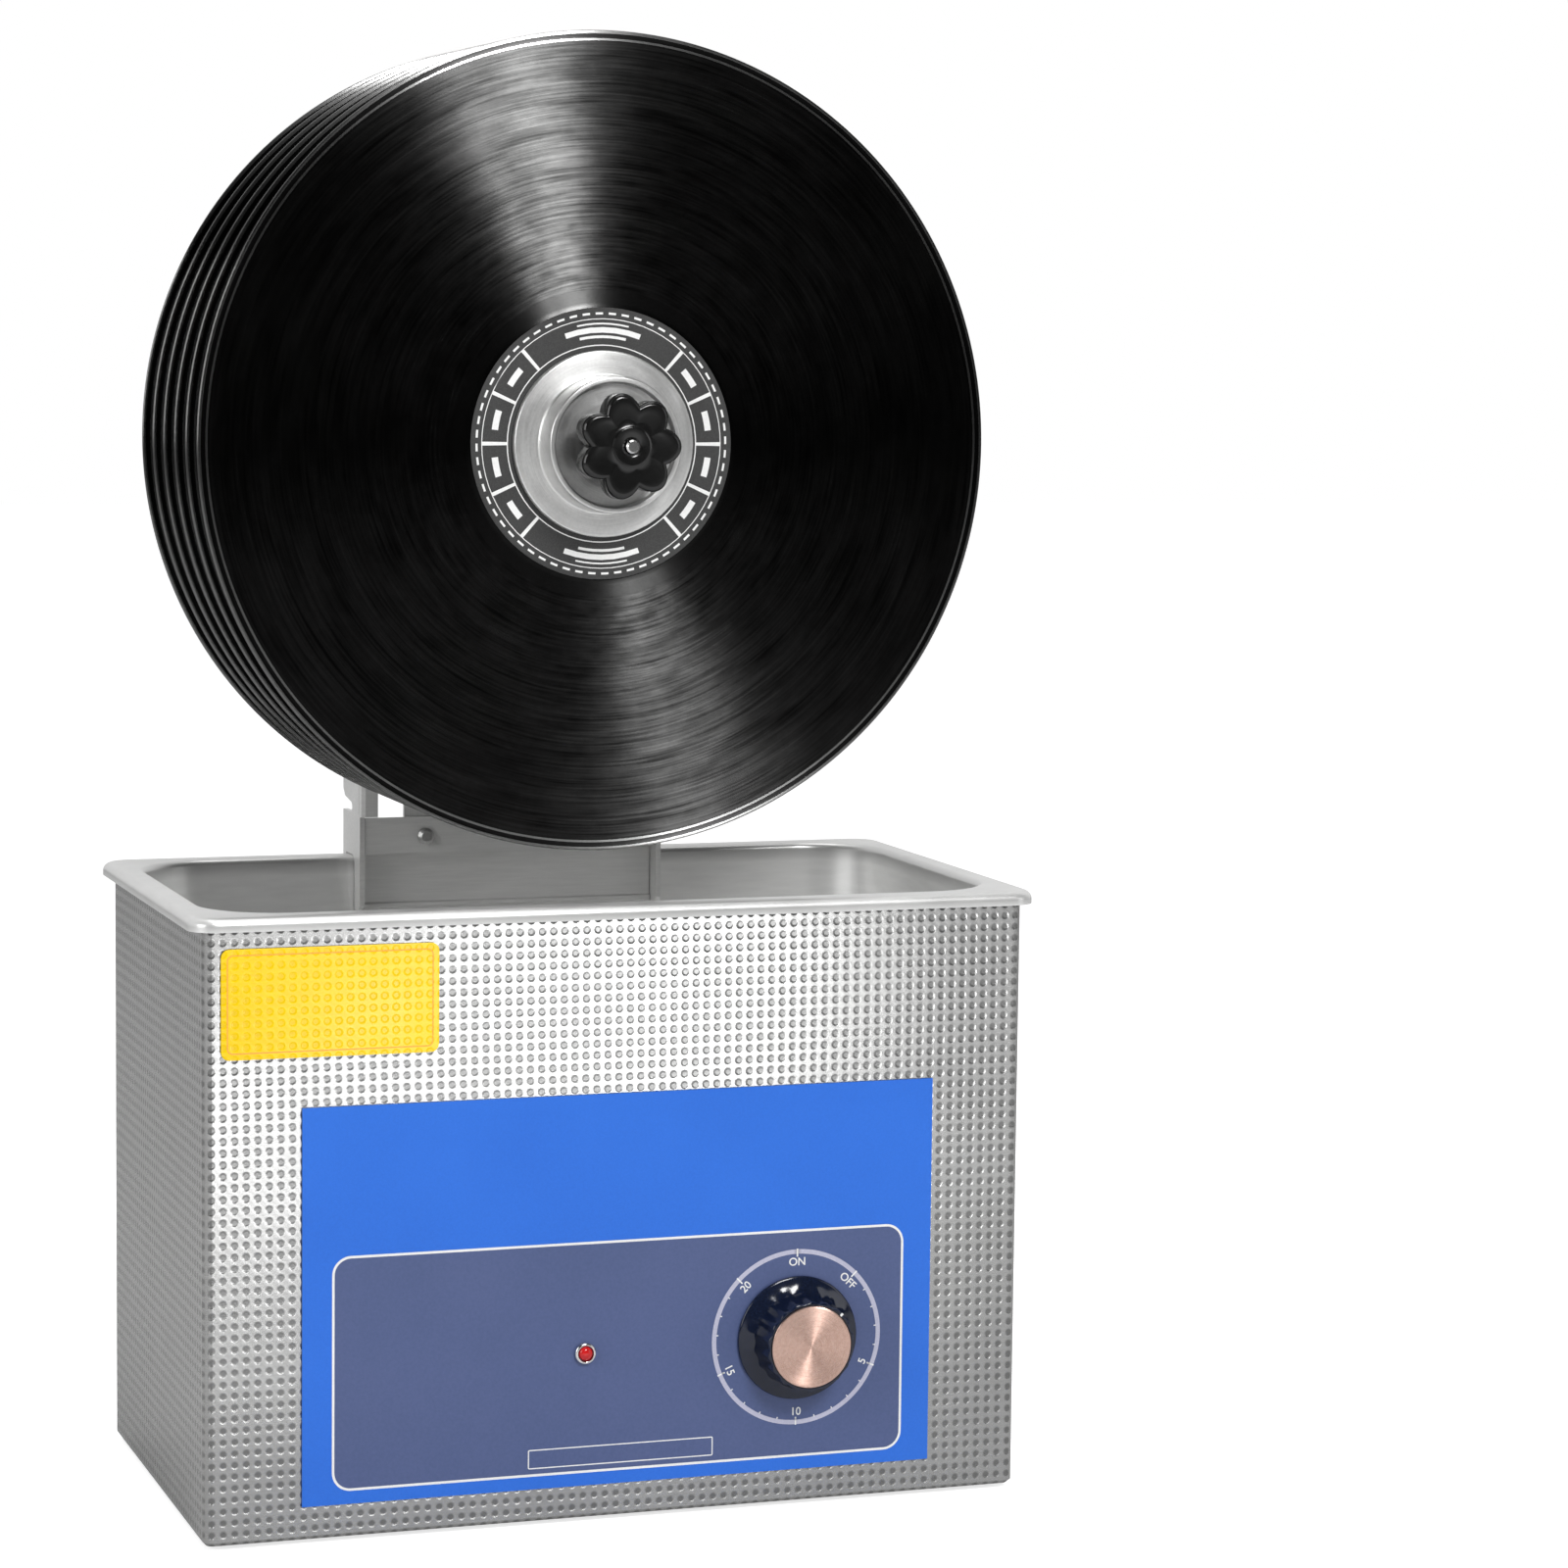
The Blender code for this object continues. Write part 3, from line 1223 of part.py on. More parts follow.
def latch_bar():
    """The cross rod with an end knob outside each cheek."""
    knob_in = CHEEK_OUT + LATCH_CLEAR
    knob_out = knob_in + LATCH_KNOB_LENGTH
    knob = LATCH_KNOB_RADIUS
    profile = [
        (knob - EDGE_BREAK, -knob_out),
        (knob, -knob_out + EDGE_BREAK),
        (knob, -knob_in),
        (LATCH_RADIUS, -knob_in),
        (LATCH_RADIUS, knob_in),
        (knob, knob_in),
        (knob, knob_out - EDGE_BREAK),
        (knob - EDGE_BREAK, knob_out),
    ]
    turn = (0.0, 0.0, -QUARTER_TURN)
    place = (0.0, LATCH_Y, LATCH_Z)
    lathe("latch_bar", profile, place, "shaft_steel", SCREW_STEPS, False, turn)


def gather():
    """Hang everything on one empty, so that the origin lies under the middle of the machine."""
    pieces = list(bpy.data.objects)
    machine = bpy.data.objects.new("machine", None)
    machine.location = (0.0, -MIDDLE_Y, 0.0)
    bpy.context.scene.collection.objects.link(machine)
    for item in pieces:
        item.parent = machine


def main():
    for item in list(bpy.data.objects):
        bpy.data.objects.remove(item)
    case_shell()
    base_plate()
    tank()
    feet()
    front_panel()
    yellow_plate()
    lamp()
    timer_body()
    timer_knob()
    power_inlet()
    transducers()
    generator_board()
    records()
    spacers()
    front_label()
    clamp_hub()
    rear_flange()
    spindle_shaft()
    star_knob()
    cheek("cheek_left", -1)
    cheek("cheek_right", 1)
    cross_band()
    mast()
    mast_screws()
    rim_clamp()
    thumb_screws()
    slider_sleeve()
    bearing_tube()
    gear_motor()
    latch_lugs()
    latch_bar()
    gather()


main()
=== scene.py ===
# %% [markdown]
# # A record cleaning machine, dressed for its portrait
#
# The solids of this machine come from CAD: a steel bath with a timer, and a hanger that carries six
# records on a motor-driven spindle. This lesson gives each surface its finish. Pieces whose curves need to
# be finer than the CAD's facets are worked out again with numpy, and stand in the same place.

# %% Load the frame
import json
import math

import bmesh
import bpy
import numpy as np
from mathutils import Matrix, Vector


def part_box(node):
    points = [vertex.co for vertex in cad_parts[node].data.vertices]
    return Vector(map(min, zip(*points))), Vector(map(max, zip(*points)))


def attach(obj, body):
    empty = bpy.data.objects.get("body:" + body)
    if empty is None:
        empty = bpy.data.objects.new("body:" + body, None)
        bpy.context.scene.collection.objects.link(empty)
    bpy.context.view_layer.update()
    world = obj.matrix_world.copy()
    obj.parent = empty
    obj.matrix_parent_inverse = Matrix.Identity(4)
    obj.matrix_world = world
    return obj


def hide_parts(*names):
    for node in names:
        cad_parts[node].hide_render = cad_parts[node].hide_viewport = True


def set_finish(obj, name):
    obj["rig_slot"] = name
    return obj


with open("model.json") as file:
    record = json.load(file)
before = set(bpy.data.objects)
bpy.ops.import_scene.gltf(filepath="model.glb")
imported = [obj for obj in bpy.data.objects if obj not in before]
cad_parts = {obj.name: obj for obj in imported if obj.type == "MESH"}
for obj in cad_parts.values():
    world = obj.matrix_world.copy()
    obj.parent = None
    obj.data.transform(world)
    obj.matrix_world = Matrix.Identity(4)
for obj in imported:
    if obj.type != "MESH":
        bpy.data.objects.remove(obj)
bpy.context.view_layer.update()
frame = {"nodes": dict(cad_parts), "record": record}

# %% [markdown]
# ## Where things are
#
# The frame says where each CAD node sits, so places are read from it and not typed in. Everything on the
# spindle shares one axis, the row of records runs along Y, and the front of the machine looks along -Y.


# %% Places read from the frame
def middle(node):
    """The centre of a CAD node's box."""
    low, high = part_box(node)
    return (low + high) / 2


SPINDLE = middle("record_1")
TIMER = middle("timer_knob")
LAMP = middle("lamp_ring")
TANK_LOW, TANK_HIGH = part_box("tank")
TANK_MIDDLE = (TANK_LOW + TANK_HIGH) / 2
PANEL_LOW, PANEL_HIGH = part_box("front_panel")
PLATE_LOW, PLATE_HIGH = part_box("yellow_plate")
PANEL_FACE = PANEL_LOW.y
print("spindle height %.1f mm, timer at x %.1f mm" % (SPINDLE.z * 1000, TIMER.x * 1000))

# %% [markdown]
# ## Surfaces as nets of points
#
# Almost every piece here is a net: rows of points, joined by quads. A turned piece is a profile of radius
# and depth carried round an axis. A pressed piece is a stack of rounded rectangles. Both are whole numpy
# arrays, and one function turns a net into a closed mesh.


# %% Nets
def net_quads(rows, columns, rows_close):
    """Quads (r,c)-(r,c+1)-(r+1,c+1)-(r+1,c) of a net whose columns always close on themselves."""
    r, c = np.meshgrid(np.arange(rows if rows_close else rows - 1), np.arange(columns), indexing="ij")
    r2, c2 = (r + 1) % rows, (c + 1) % columns
    corners = [r * columns + c, r * columns + c2, r2 * columns + c2, r2 * columns + c]
    return np.stack(corners, -1).reshape(-1, 4)


def net_mesh(rings, closed=False):
    """Points and faces of a stack of rings (rows, columns, 3); an open stack gets a flat cap at each end."""
    rows, columns = rings.shape[:2]
    faces = net_quads(rows, columns, closed).tolist()
    if not closed:
        faces.append(list(range(columns)))
        faces.append(list(range((rows - 1) * columns, rows * columns)))
    return rings.reshape(-1, 3), faces


def turned(profile, axis, steps):
    """A profile of (radius, y) pairs carried round a line along Y: x = ax + r cos t, z = az + r sin t."""
    profile = np.asarray(profile, float)
    t = np.linspace(0.0, 2 * np.pi, steps, endpoint=False)
    radius, y = profile[:, :1], profile[:, 1:]
    return np.stack([axis.x + radius * np.cos(t), y + 0 * t, axis.z + radius * np.sin(t)], -1)


def bend(centre, radius, start, stop, steps=6):
    """An arc in the profile plane: centre + radius (cos a, sin a), a in degrees from start to stop."""
    a = np.radians(np.linspace(start, stop, steps))
    return np.stack([centre[0] + radius * np.cos(a), centre[1] + radius * np.sin(a)], -1)


def rounded_ring(half_x, half_z, corner, steps=12):
    """A rounded rectangle as (u, v) pairs: four quarter arcs of the corner radius, joined by straights."""
    quarter = np.arange(4)[:, None]
    a = (quarter + np.linspace(0.0, 1.0, steps)[None, :]) * np.pi / 2
    sx = np.array([1, -1, -1, 1])[:, None]
    sz = np.array([1, 1, -1, -1])[:, None]
    u = sx * (half_x - corner) + corner * np.cos(a)
    v = sz * (half_z - corner) + corner * np.sin(a)
    return np.stack([u.ravel(), v.ravel()], -1)


# %% [markdown]
# ## From net to piece
#
# A finished piece rides on one CAD body, takes a slot of the parts list for its finish, and may stand in for
# CAD nodes that then aren't drawn. Edges sharper than 32 degrees stay sharp; the rest is shaded smooth.

# %% Pieces
WELD = 1e-6
SHARP = 32.0
made_pieces = []


def show(name, data):
    """An object with this data, in the scene."""
    made = bpy.data.objects.new(name, data)
    bpy.context.scene.collection.objects.link(made)
    return made


def piece(name, points, faces, body, slot, replaces=(), sharp=SHARP):
    """A closed mesh with outward faces, riding on a body."""
    mesh = bpy.data.meshes.new(name)
    mesh.from_pydata(np.asarray(points).tolist(), [], faces)
    work = bmesh.new()
    work.from_mesh(mesh)
    bmesh.ops.remove_doubles(work, verts=work.verts, dist=WELD)
    bmesh.ops.recalc_face_normals(work, faces=work.faces)
    work.to_mesh(mesh)
    work.free()
    mesh.shade_smooth()
    mesh.set_sharp_from_angle(angle=math.radians(sharp))
    made = show(name, mesh)
    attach(made, body)
    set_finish(made, slot)
    if replaces:
        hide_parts(*replaces)
    made_pieces.append(made)
    print("made %s: %d points, on %s" % (name, len(mesh.vertices), body))
    return made


def turned_piece(name, profile, axis, steps, body, slot, replaces=(), closed=False):
    """A turned piece; closed means that the profile is a loop round a bore."""
    return piece(name, *net_mesh(turned(profile, axis, steps), closed), body, slot, replaces)


# %% [markdown]
# ## The tub
#
# The bath is one deep-drawn sheet of stainless steel. Its lip rolls over the case, and light runs along that
# roll as one long bright line, so the roll and the deep corners need many more facets than the CAD has.

# %% The tub's sizes
SHEET = 0.0008
LIP = 0.0025
ROLL = 0.0032
DROP = 0.0050
RIM_CORNER = 0.0100
TUB_HALF_X = 0.1500
TUB_HALF_Y = 0.0780
TUB_CORNER = 0.0285
TUB_DEEP = 0.1500
TUB_FILLET = 0.0140
CORNER_STEPS = 16
FILLET_STEPS = 9
ROUND_STEPS = 7


def level_ring(half_x, half_y, corner, z):
    """A rounded rectangle lying level at height z, about the tub's middle."""
    flat = rounded_ring(half_x, half_y, corner, CORNER_STEPS)
    return np.column_stack([TANK_MIDDLE.x + flat[:, 0], TANK_MIDDLE.y + flat[:, 1], np.full(len(flat), z)])


# %% The tub, inside, over the lip and back under
def tub():
    """Rings from the inner floor up the wall, over the lip and roll, and back down outside at one sheet."""
    top = TANK_HIGH.z
    floor = top - TUB_DEEP
    out_x = (TANK_HIGH.x - TANK_LOW.x) / 2
    out_y = (TANK_HIGH.y - TANK_LOW.y) / 2

    def wall(offset, z):
        return level_ring(TUB_HALF_X + offset, TUB_HALF_Y + offset, TUB_CORNER + offset, z)

    def edge(inset, z, corner):
        return level_ring(out_x - inset, out_y - inset, corner, z)

    def fillet(offset):
        """The quarter round from the outer or inner wall down to the floor."""
        radius = TUB_FILLET + offset
        a = np.linspace(0.0, np.pi / 2, FILLET_STEPS)
        insets = radius * (1 - np.cos(a)) - offset
        heights = floor + TUB_FILLET - radius * np.sin(a)
        return [wall(-i, z) for i, z in zip(insets, heights)]

    def lip(offset, a):
        """The quarter round from the wall to the rim's flat top."""
        radius = LIP - offset
        return [wall(offset + radius * (1 - np.cos(k)), top - offset - radius * (1 - np.sin(k))) for k in a]

    def roll(offset, a, follow):
        """The rim's outer shoulder; its corner radius loses a share, follow, of the inset."""
        insets = (ROLL - offset) * (1 - np.sin(a))
        drops = (ROLL - offset) * (1 - np.cos(a))
        corners = RIM_CORNER - offset - follow * insets
        return [edge(offset + i, top - offset - d, c) for i, d, c in zip(insets, drops, corners)]

    a = np.linspace(0.0, np.pi / 2, ROUND_STEPS)
    rings = fillet(0.0)[::-1] + lip(0.0, a) + roll(0.0, a, 0.5)
    rings += [edge(0.0, top - DROP, RIM_CORNER), edge(SHEET, top - DROP, RIM_CORNER - SHEET)]
    rings += roll(SHEET, a[::-1], 0.0) + lip(SHEET, a[::-1]) + fillet(SHEET)
    return np.stack(rings)


tub_skin = piece("tub_skin", *net_mesh(tub()), "cleaner", "tank_steel", ["tank"])

# %% [markdown]
# ## Six records
#
# A record is a disc 1.5 mm thick with a raised bead at its edge and a thicker middle under the label. From
# the side the bead catches the light as a thin line, and there is a smooth run-in just inside it.

# %% The record's profile
RECORD_RADIUS = 0.1508
LABEL_RADIUS = 0.0500
HOLE = 0.0036
BEAD = 0.00072
BEAD_SWEEP = 98.0
RECORD_COUNT = 6
RECORD_STEPS = 240
# Radius and half thickness, from the thick middle out to the run-in.
RECORD_FACE = (
    (HOLE, 0.00100), (0.0475, 0.00100), (LABEL_RADIUS, 0.00098), (0.0508, 0.00078), (0.0520, 0.00073),
    (0.1460, 0.00073), (0.1475, 0.00070), (0.1484, 0.00062), (0.1490, 0.00068),
)


def record_profile(y):
    """(radius, y) pairs: along the front face, round the edge bead and back along the rear face."""
    back = np.array(RECORD_FACE)[::-1]
    front = back[::-1] * np.array([1.0, -1.0])
    bead = bend((RECORD_RADIUS - BEAD, 0.0), BEAD, -BEAD_SWEEP, BEAD_SWEEP, 11)
    return np.vstack([front, bead, back]) + np.array([0.0, y])


RECORD_PLACES = [middle("record_%d" % (k + 1)).y for k in range(RECORD_COUNT)]
for number, y in enumerate(RECORD_PLACES, 1):
    name, node = "disc_%d" % number, "record_%d" % number
    turned_piece(name, record_profile(y), SPINDLE, RECORD_STEPS, "spindle", "record_black", [node], True)
print("records at y, mm:", [round(y * 1000, 1) for y in RECORD_PLACES])

# %% [markdown]
# ## The label of the front record
#
# A round of dark paper, with pale marks of a plain kind: a ring of dashes, two thin rings, and short bars
# between them. The marks are thin closed strips, worked out in polar coordinates, a hair above the paper.

# %% The paper round
LABEL_LOW, LABEL_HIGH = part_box("front_label")
LABEL_FACE = LABEL_LOW.y
PAPER_EDGE = 0.0001
HUB_STEPS = 160
paper = np.array([
    [HOLE, LABEL_HIGH.y], [HOLE, LABEL_FACE], [LABEL_RADIUS - PAPER_EDGE, LABEL_FACE],
    [LABEL_RADIUS, LABEL_FACE + PAPER_EDGE], [LABEL_RADIUS, LABEL_HIGH.y],
])
turned_piece("label_round", paper, SPINDLE, HUB_STEPS, "spindle", "label_dark", ["front_label"], True)


# %% Marks in polar coordinates
def polar_strips(spans, radii, thick, face, axis, steps=7):
    """Closed strips between two radii and two angles each: a net of steps arcs by the four corners of a bar.

    spans is (n, 2) angles in degrees, radii is (n, 2); all strips are one array, then one mesh."""
    spans, radii = np.radians(np.asarray(spans, float)), np.asarray(radii, float)
    a = spans[:, :1] + (spans[:, 1:] - spans[:, :1]) * np.linspace(0, 1, steps)
    corner_r = radii[:, [0, 1, 1, 0]]
    corner_y = np.array([face - thick, face - thick, face + thick, face + thick])
    x = axis.x + corner_r[:, None, :] * np.cos(a)[:, :, None]
    z = axis.z + corner_r[:, None, :] * np.sin(a)[:, :, None]
    y = np.broadcast_to(corner_y, x.shape)
    points = np.stack([x, y, z], -1)
    count = len(spans)
    side = net_quads(steps, 4, False)
    ends = np.array([[0, 1, 2, 3], [(steps - 1) * 4 + k for k in range(4)]])
    one = np.vstack([side, ends])
    faces = (one[None] + np.arange(count)[:, None, None] * steps * 4).reshape(-1, 4)
    return points.reshape(-1, 3), faces.tolist()


# %% The label's marks
# Rows of strips: count, first angle, step and width in degrees, inner and outer radius.
MARK_ROWS = [
    (60, 0.0, 6.0, 3.4, 0.0474, 0.0482),
    (12, 0.0, 30.0, 30.0, 0.0457, 0.0460),
    (12, 0.0, 30.0, 30.0, 0.0360, 0.0364),
]
for side in (0.0, 180.0):
    MARK_ROWS.append((5, side - 48.9, 24.0, 1.8, 0.0364, 0.0457))
    MARK_ROWS.append((4, side - 41.0, 24.0, 10.0, 0.0400, 0.0424))
for side in (90.0, 270.0):
    for half, low, high in ((13.0, 0.0388, 0.0398), (20.0, 0.0408, 0.0428), (13.0, 0.0438, 0.0444)):
        MARK_ROWS.append((1, side - half, 0.0, 2 * half, low, high))


def label_marks():
    """Start and end angle, and the two radii, of every strip of every row."""
    spans, radii = [], []
    for count, first, step, width, low, high in MARK_ROWS:
        spans += [(first + step * k, first + step * k + width) for k in range(count)]
        radii += [(low, high)] * count
    return spans, radii


spans, radii = label_marks()
PRINT = 0.00004
strips = polar_strips(spans, radii, PRINT, LABEL_FACE, SPINDLE)
piece("label_print", *strips, "spindle", "label_dark")
print("label marks:", len(spans))

# %% [markdown]
# ## The clamp and the star knob
#
# A turned metal flange presses the stack together. Its hub has a shallow well, and in the well sits the neck
# of a black knob with seven lobes: the radius swings between valley and tip as the square root of a raised
# cosine, which gives broad tips and rounded valleys.

# %% The clamp flange
CLAMP_LOW, CLAMP_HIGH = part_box("clamp_hub")
HUB = 0.0250
FLANGE = 0.0343
WELL_WALL = 0.0022
WELL_DEEP = 0.0030
FLANGE_THICK = 0.0030
FLANGE_BACK_ROUND = 0.0004
FLANGE_ROUND = 0.0007
HUB_FILLET = 0.0009
HUB_ROUND = 0.0007
MOUTH_ROUND = 0.0005
WELL_ROUND = 0.0006


def clamp_profile():
    """(radius, y): flange, fillet, hub wall, rounded mouth and the well."""
    back, front = CLAMP_HIGH.y, CLAMP_LOW.y
    face = back - FLANGE_THICK
    mouth = HUB - WELL_WALL
    well = front + WELL_DEEP
    rim = FLANGE - FLANGE_BACK_ROUND
    return np.vstack([
        [[HOLE, back], [rim, back]],
        bend((rim, back - FLANGE_BACK_ROUND), FLANGE_BACK_ROUND, 90, 0, 4),
        bend((FLANGE - FLANGE_ROUND, face + FLANGE_ROUND), FLANGE_ROUND, 0, -90, 6),
        [[HUB + 0.0012, face]],
        bend((HUB + HUB_FILLET, face - HUB_FILLET), HUB_FILLET, 90, 180, 6),
        bend((HUB - HUB_ROUND, front + HUB_ROUND), HUB_ROUND, 0, -90, 6),
        bend((mouth + MOUTH_ROUND, front + MOUTH_ROUND), MOUTH_ROUND, -90, -180, 5),
        bend((mouth - WELL_ROUND, well - WELL_ROUND), WELL_ROUND, 0, 90, 5),
        [[HOLE, well]],
    ])


profile = clamp_profile()
turned_piece("clamp_flange", profile, SPINDLE, HUB_STEPS, "spindle", "clamp_metal", ["clamp_hub"], True)

# %% The star knob
STAR_LOW, STAR_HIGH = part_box("star_knob")
LOBES = 7
STAR_TIP = 0.0195
STAR_VALLEY = 0.0152
STAR_DEEP = 0.0110
BOSS = 0.0070
BOSS_RISE = 0.0009
BOSS_ROUND = 0.0003
NECK = 0.0080
STUD = 0.0028
STAR_ROUND = 0.0022
DISH = 0.0004
STAR_STEPS = LOBES * 28


def lobed(inset, y, share):
    """A ring drawn in by inset: a circle at share 0 and the full lobed outline at share 1."""
    t = np.linspace(0, 2 * np.pi, STAR_STEPS, endpoint=False)
    wave = np.sqrt((1 + np.cos(LOBES * t)) / 2)
    lobe = STAR_VALLEY + (STAR_TIP - STAR_VALLEY) * wave
    radius = lobe * share + (1 - share) * STAR_VALLEY - inset
    x, z = SPINDLE.x + radius * np.cos(t), SPINDLE.z + radius * np.sin(t)
    return np.stack([x, np.full(STAR_STEPS, y), z], -1)


def star_rings():
    """Bore, neck, rounded back edge, sides, rounded front edge, slightly dished face and boss."""
    back = STAR_HIGH.y
    front = STAR_LOW.y + BOSS_RISE
    rear = front + STAR_DEEP
    dish = front + DISH
    boss = front - BOSS_RISE

    def plain(radius, y):
        return lobed(STAR_VALLEY - radius, y, 0.0)

    a = np.linspace(0, np.pi / 2, ROUND_STEPS)
    rings = [plain(STUD, back), plain(NECK, back), plain(NECK, rear)]
    rings += [lobed(STAR_ROUND * (1 - np.sin(k)), rear - STAR_ROUND * (1 - np.cos(k)), 1.0) for k in a]
    rings += [lobed(STAR_ROUND * (1 - np.cos(k)), front + STAR_ROUND * (1 - np.sin(k)), 1.0) for k in a]
    rings += [lobed(STAR_ROUND + 0.0018, front + DISH / 2, 0.8), lobed(STAR_ROUND + 0.0045, dish, 0.4)]
    rings += [plain(BOSS + 0.0007, dish), plain(BOSS + 0.0001, front + DISH / 4)]
    rings += [plain(BOSS - BOSS_ROUND * np.sin(k), boss + BOSS_ROUND * np.cos(k)) for k in a[::3]]
    rings += [plain(STUD + 0.0012, boss), plain(STUD + 0.0004, boss + 0.0003), plain(STUD, boss + 0.0006)]
    return np.stack(rings)


piece("star_grip", *net_mesh(star_rings(), True), "clamp_knob", "star_black", ["star_knob"])

# %% [markdown]
# ## The timer knob
#
# A glossy black knob with a skirt, a grip of eighteen flutes, a spun copper-coloured cap and a white pointer
# line that stands at OFF. The flutes are a cosine on the radius, as deep as the CAD's.

# %% The knob's body
KNOB_LOW, KNOB_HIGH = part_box("timer_knob")
CAP_LOW, CAP_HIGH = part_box("timer_knob_cap")
SKIRT = 0.0233
SKIRT_DEEP = 0.0028
GRIP = 0.0182
GRIP_FRONT = 0.0170
CAP = 0.0154
CAP_SEAT = 0.0157
FLUTES = 18
FLUTE = 0.0007
STEM = 0.0035
SKIRT_ROUND = 0.0008
SHOULDER = 0.0010
KNOB_STEPS = FLUTES * 14
KNOB_SEAT = PANEL_FACE - 0.0003
KNOB_FRONT = KNOB_LOW.y


def fluted(radius, y, depth=0.0):
    """A ring of radius r - depth (1 + cos(flutes t)) / 2, about the timer's axis."""
    t = np.linspace(0, 2 * np.pi, KNOB_STEPS, endpoint=False)
    r = radius - depth * (1 + np.cos(FLUTES * t)) / 2
    return np.stack([TIMER.x + r * np.cos(t), np.full(KNOB_STEPS, y), TIMER.z + r * np.sin(t)], -1)


def knob_rings():
    """Stem, flared skirt, waist, fluted grip, rounded shoulder and the seat of the cap."""
    waist = KNOB_SEAT - SKIRT_DEEP
    skirt = SKIRT - SKIRT_ROUND
    edge = KNOB_SEAT - SKIRT_ROUND
    a = np.linspace(-np.pi / 2, np.pi / 2, 7)
    b = np.linspace(0, np.pi / 2, 5)
    rings = [fluted(STEM, KNOB_HIGH.y), fluted(STEM, KNOB_SEAT), fluted(SKIRT - SKIRT_ROUND / 2, KNOB_SEAT)]
    rings += [fluted(skirt + SKIRT_ROUND * np.cos(k), edge - SKIRT_ROUND * np.sin(k)) for k in a]
    rings += [fluted(SKIRT - 0.0022, KNOB_SEAT - 0.0021), fluted(GRIP + 0.0012, waist, FLUTE * 0.4)]
    rings += [fluted(GRIP, waist - 0.0010, FLUTE), fluted(GRIP_FRONT, KNOB_FRONT + 0.0012, FLUTE)]
    insets, drops = SHOULDER * (1 - np.cos(b)), SHOULDER * (1 - np.sin(b))
    flutes = FLUTE * np.cos(b)
    rings += [fluted(GRIP_FRONT - i, KNOB_FRONT + d, f) for i, d, f in zip(insets, drops, flutes)]
    rings += [fluted(CAP_SEAT, KNOB_FRONT), fluted(CAP_SEAT, CAP_HIGH.y + 0.0003)]
    return np.stack(rings)


piece("knob_grip", *net_mesh(knob_rings()), "timer_dial", "knob_black", ["timer_knob"])

# %% The spun cap
CAP_ROUND = 0.0004
CAP_HOLLOW = 0.00022
CAP_STEPS = 180
cap_profile = np.vstack([
    [[0.0, CAP_HIGH.y], [CAP - 0.0001, CAP_HIGH.y]],
    bend((CAP - CAP_ROUND, CAP_LOW.y + CAP_ROUND), CAP_ROUND, 0, -90, 5),
    [[CAP - 0.0012, CAP_LOW.y + 0.00002], [0.0006, CAP_LOW.y + CAP_HOLLOW], [0.0, CAP_LOW.y + CAP_HOLLOW]],
])
stands_for = ["timer_knob_cap"]
knob_cap = turned_piece("knob_cap", cap_profile, TIMER, CAP_STEPS, "timer_dial", "knob_copper", stands_for)


# %% [markdown]
# ## Printed marks on flat faces
#
# The panel's marks are ink. Ink is drawn as closed strips a few hundredths of a millimetre thick: a frame
# between two rounded rectangles, a filled rounded rectangle, a ring, a tick. Numbers are Blender's own font,
# made a mesh first and then put in place.


# %% Frames, fields and ticks
def upright(flat, at, depth):
    """(u, v) pairs stood up about a point: u along X, v along Z, and one depth along Y."""
    return np.column_stack([at.x + flat[:, 0], np.full(len(flat), at.y + depth), at.z + flat[:, 1]])


def printed_frame(half_x, half_z, corner, line, at, thick):
    """A rounded frame of one line width, as a closed net: outer front and back, inner back and front."""
    outer = rounded_ring(half_x, half_z, corner)
    inner = rounded_ring(half_x - line, half_z - line, corner - line)
    rings = [(outer, -thick), (outer, thick), (inner, thick), (inner, -thick)]
    return np.stack([upright(flat, at, depth) for flat, depth in rings])


def printed_field(half_x, half_z, corner, at, thick):
    """A filled rounded rectangle, front and back."""
    flat = rounded_ring(half_x, half_z, corner)
    return np.stack([upright(flat, at, depth) for depth in (-thick, thick)])


def bars(centres, halves, turns, y, thick):
    """Small turned boxes, n of them: corners are centre + R(turn) (+-half_u, +-half_v), front and back."""
    centres, halves = np.asarray(centres, float), np.asarray(halves, float)
    turns = np.radians(np.asarray(turns, float))
    u = np.array([-1, 1, 1, -1]) * halves[:, :1]
    v = np.array([-1, -1, 1, 1]) * halves[:, 1:]
    cos, sin = np.cos(turns)[:, None], np.sin(turns)[:, None]
    x = centres[:, :1] + u * cos - v * sin
    z = centres[:, 1:] + u * sin + v * cos
    front = np.stack([x, np.full_like(x, y - thick), z], -1)
    back = np.stack([x, np.full_like(x, y + thick), z], -1)
    points = np.concatenate([front, back], 1).reshape(-1, 3)
    one = np.array([[0, 1, 2, 3], [7, 6, 5, 4], [0, 4, 5, 1], [1, 5, 6, 2], [2, 6, 7, 3], [3, 7, 4, 0]])
    faces = (one[None] + np.arange(len(centres))[:, None, None] * 8).reshape(-1, 4)
    return points, faces.tolist()


# %% The panel's field, frame and empty box
FIELD_HALF_X = 0.1096
FIELD_LOW = 0.0193
FIELD_HIGH = 0.1055
FIELD_CORNER = 0.0070
FRAME_LINE = 0.0009
field_at = Vector((0.0, PANEL_FACE, (FIELD_LOW + FIELD_HIGH) / 2))
field_half_z = (FIELD_HIGH - FIELD_LOW) / 2
rings = printed_field(FIELD_HALF_X, field_half_z, FIELD_CORNER, field_at, PRINT)
piece("panel_field", *net_mesh(rings), "cleaner", "panel_blue")
rings = printed_frame(FIELD_HALF_X, field_half_z, FIELD_CORNER, FRAME_LINE, field_at, PRINT * 2)
piece("panel_frame", *net_mesh(rings, True), "cleaner", "panel_blue")
BOX_HALF_X = 0.0356
BOX_HALF_Z = 0.0036
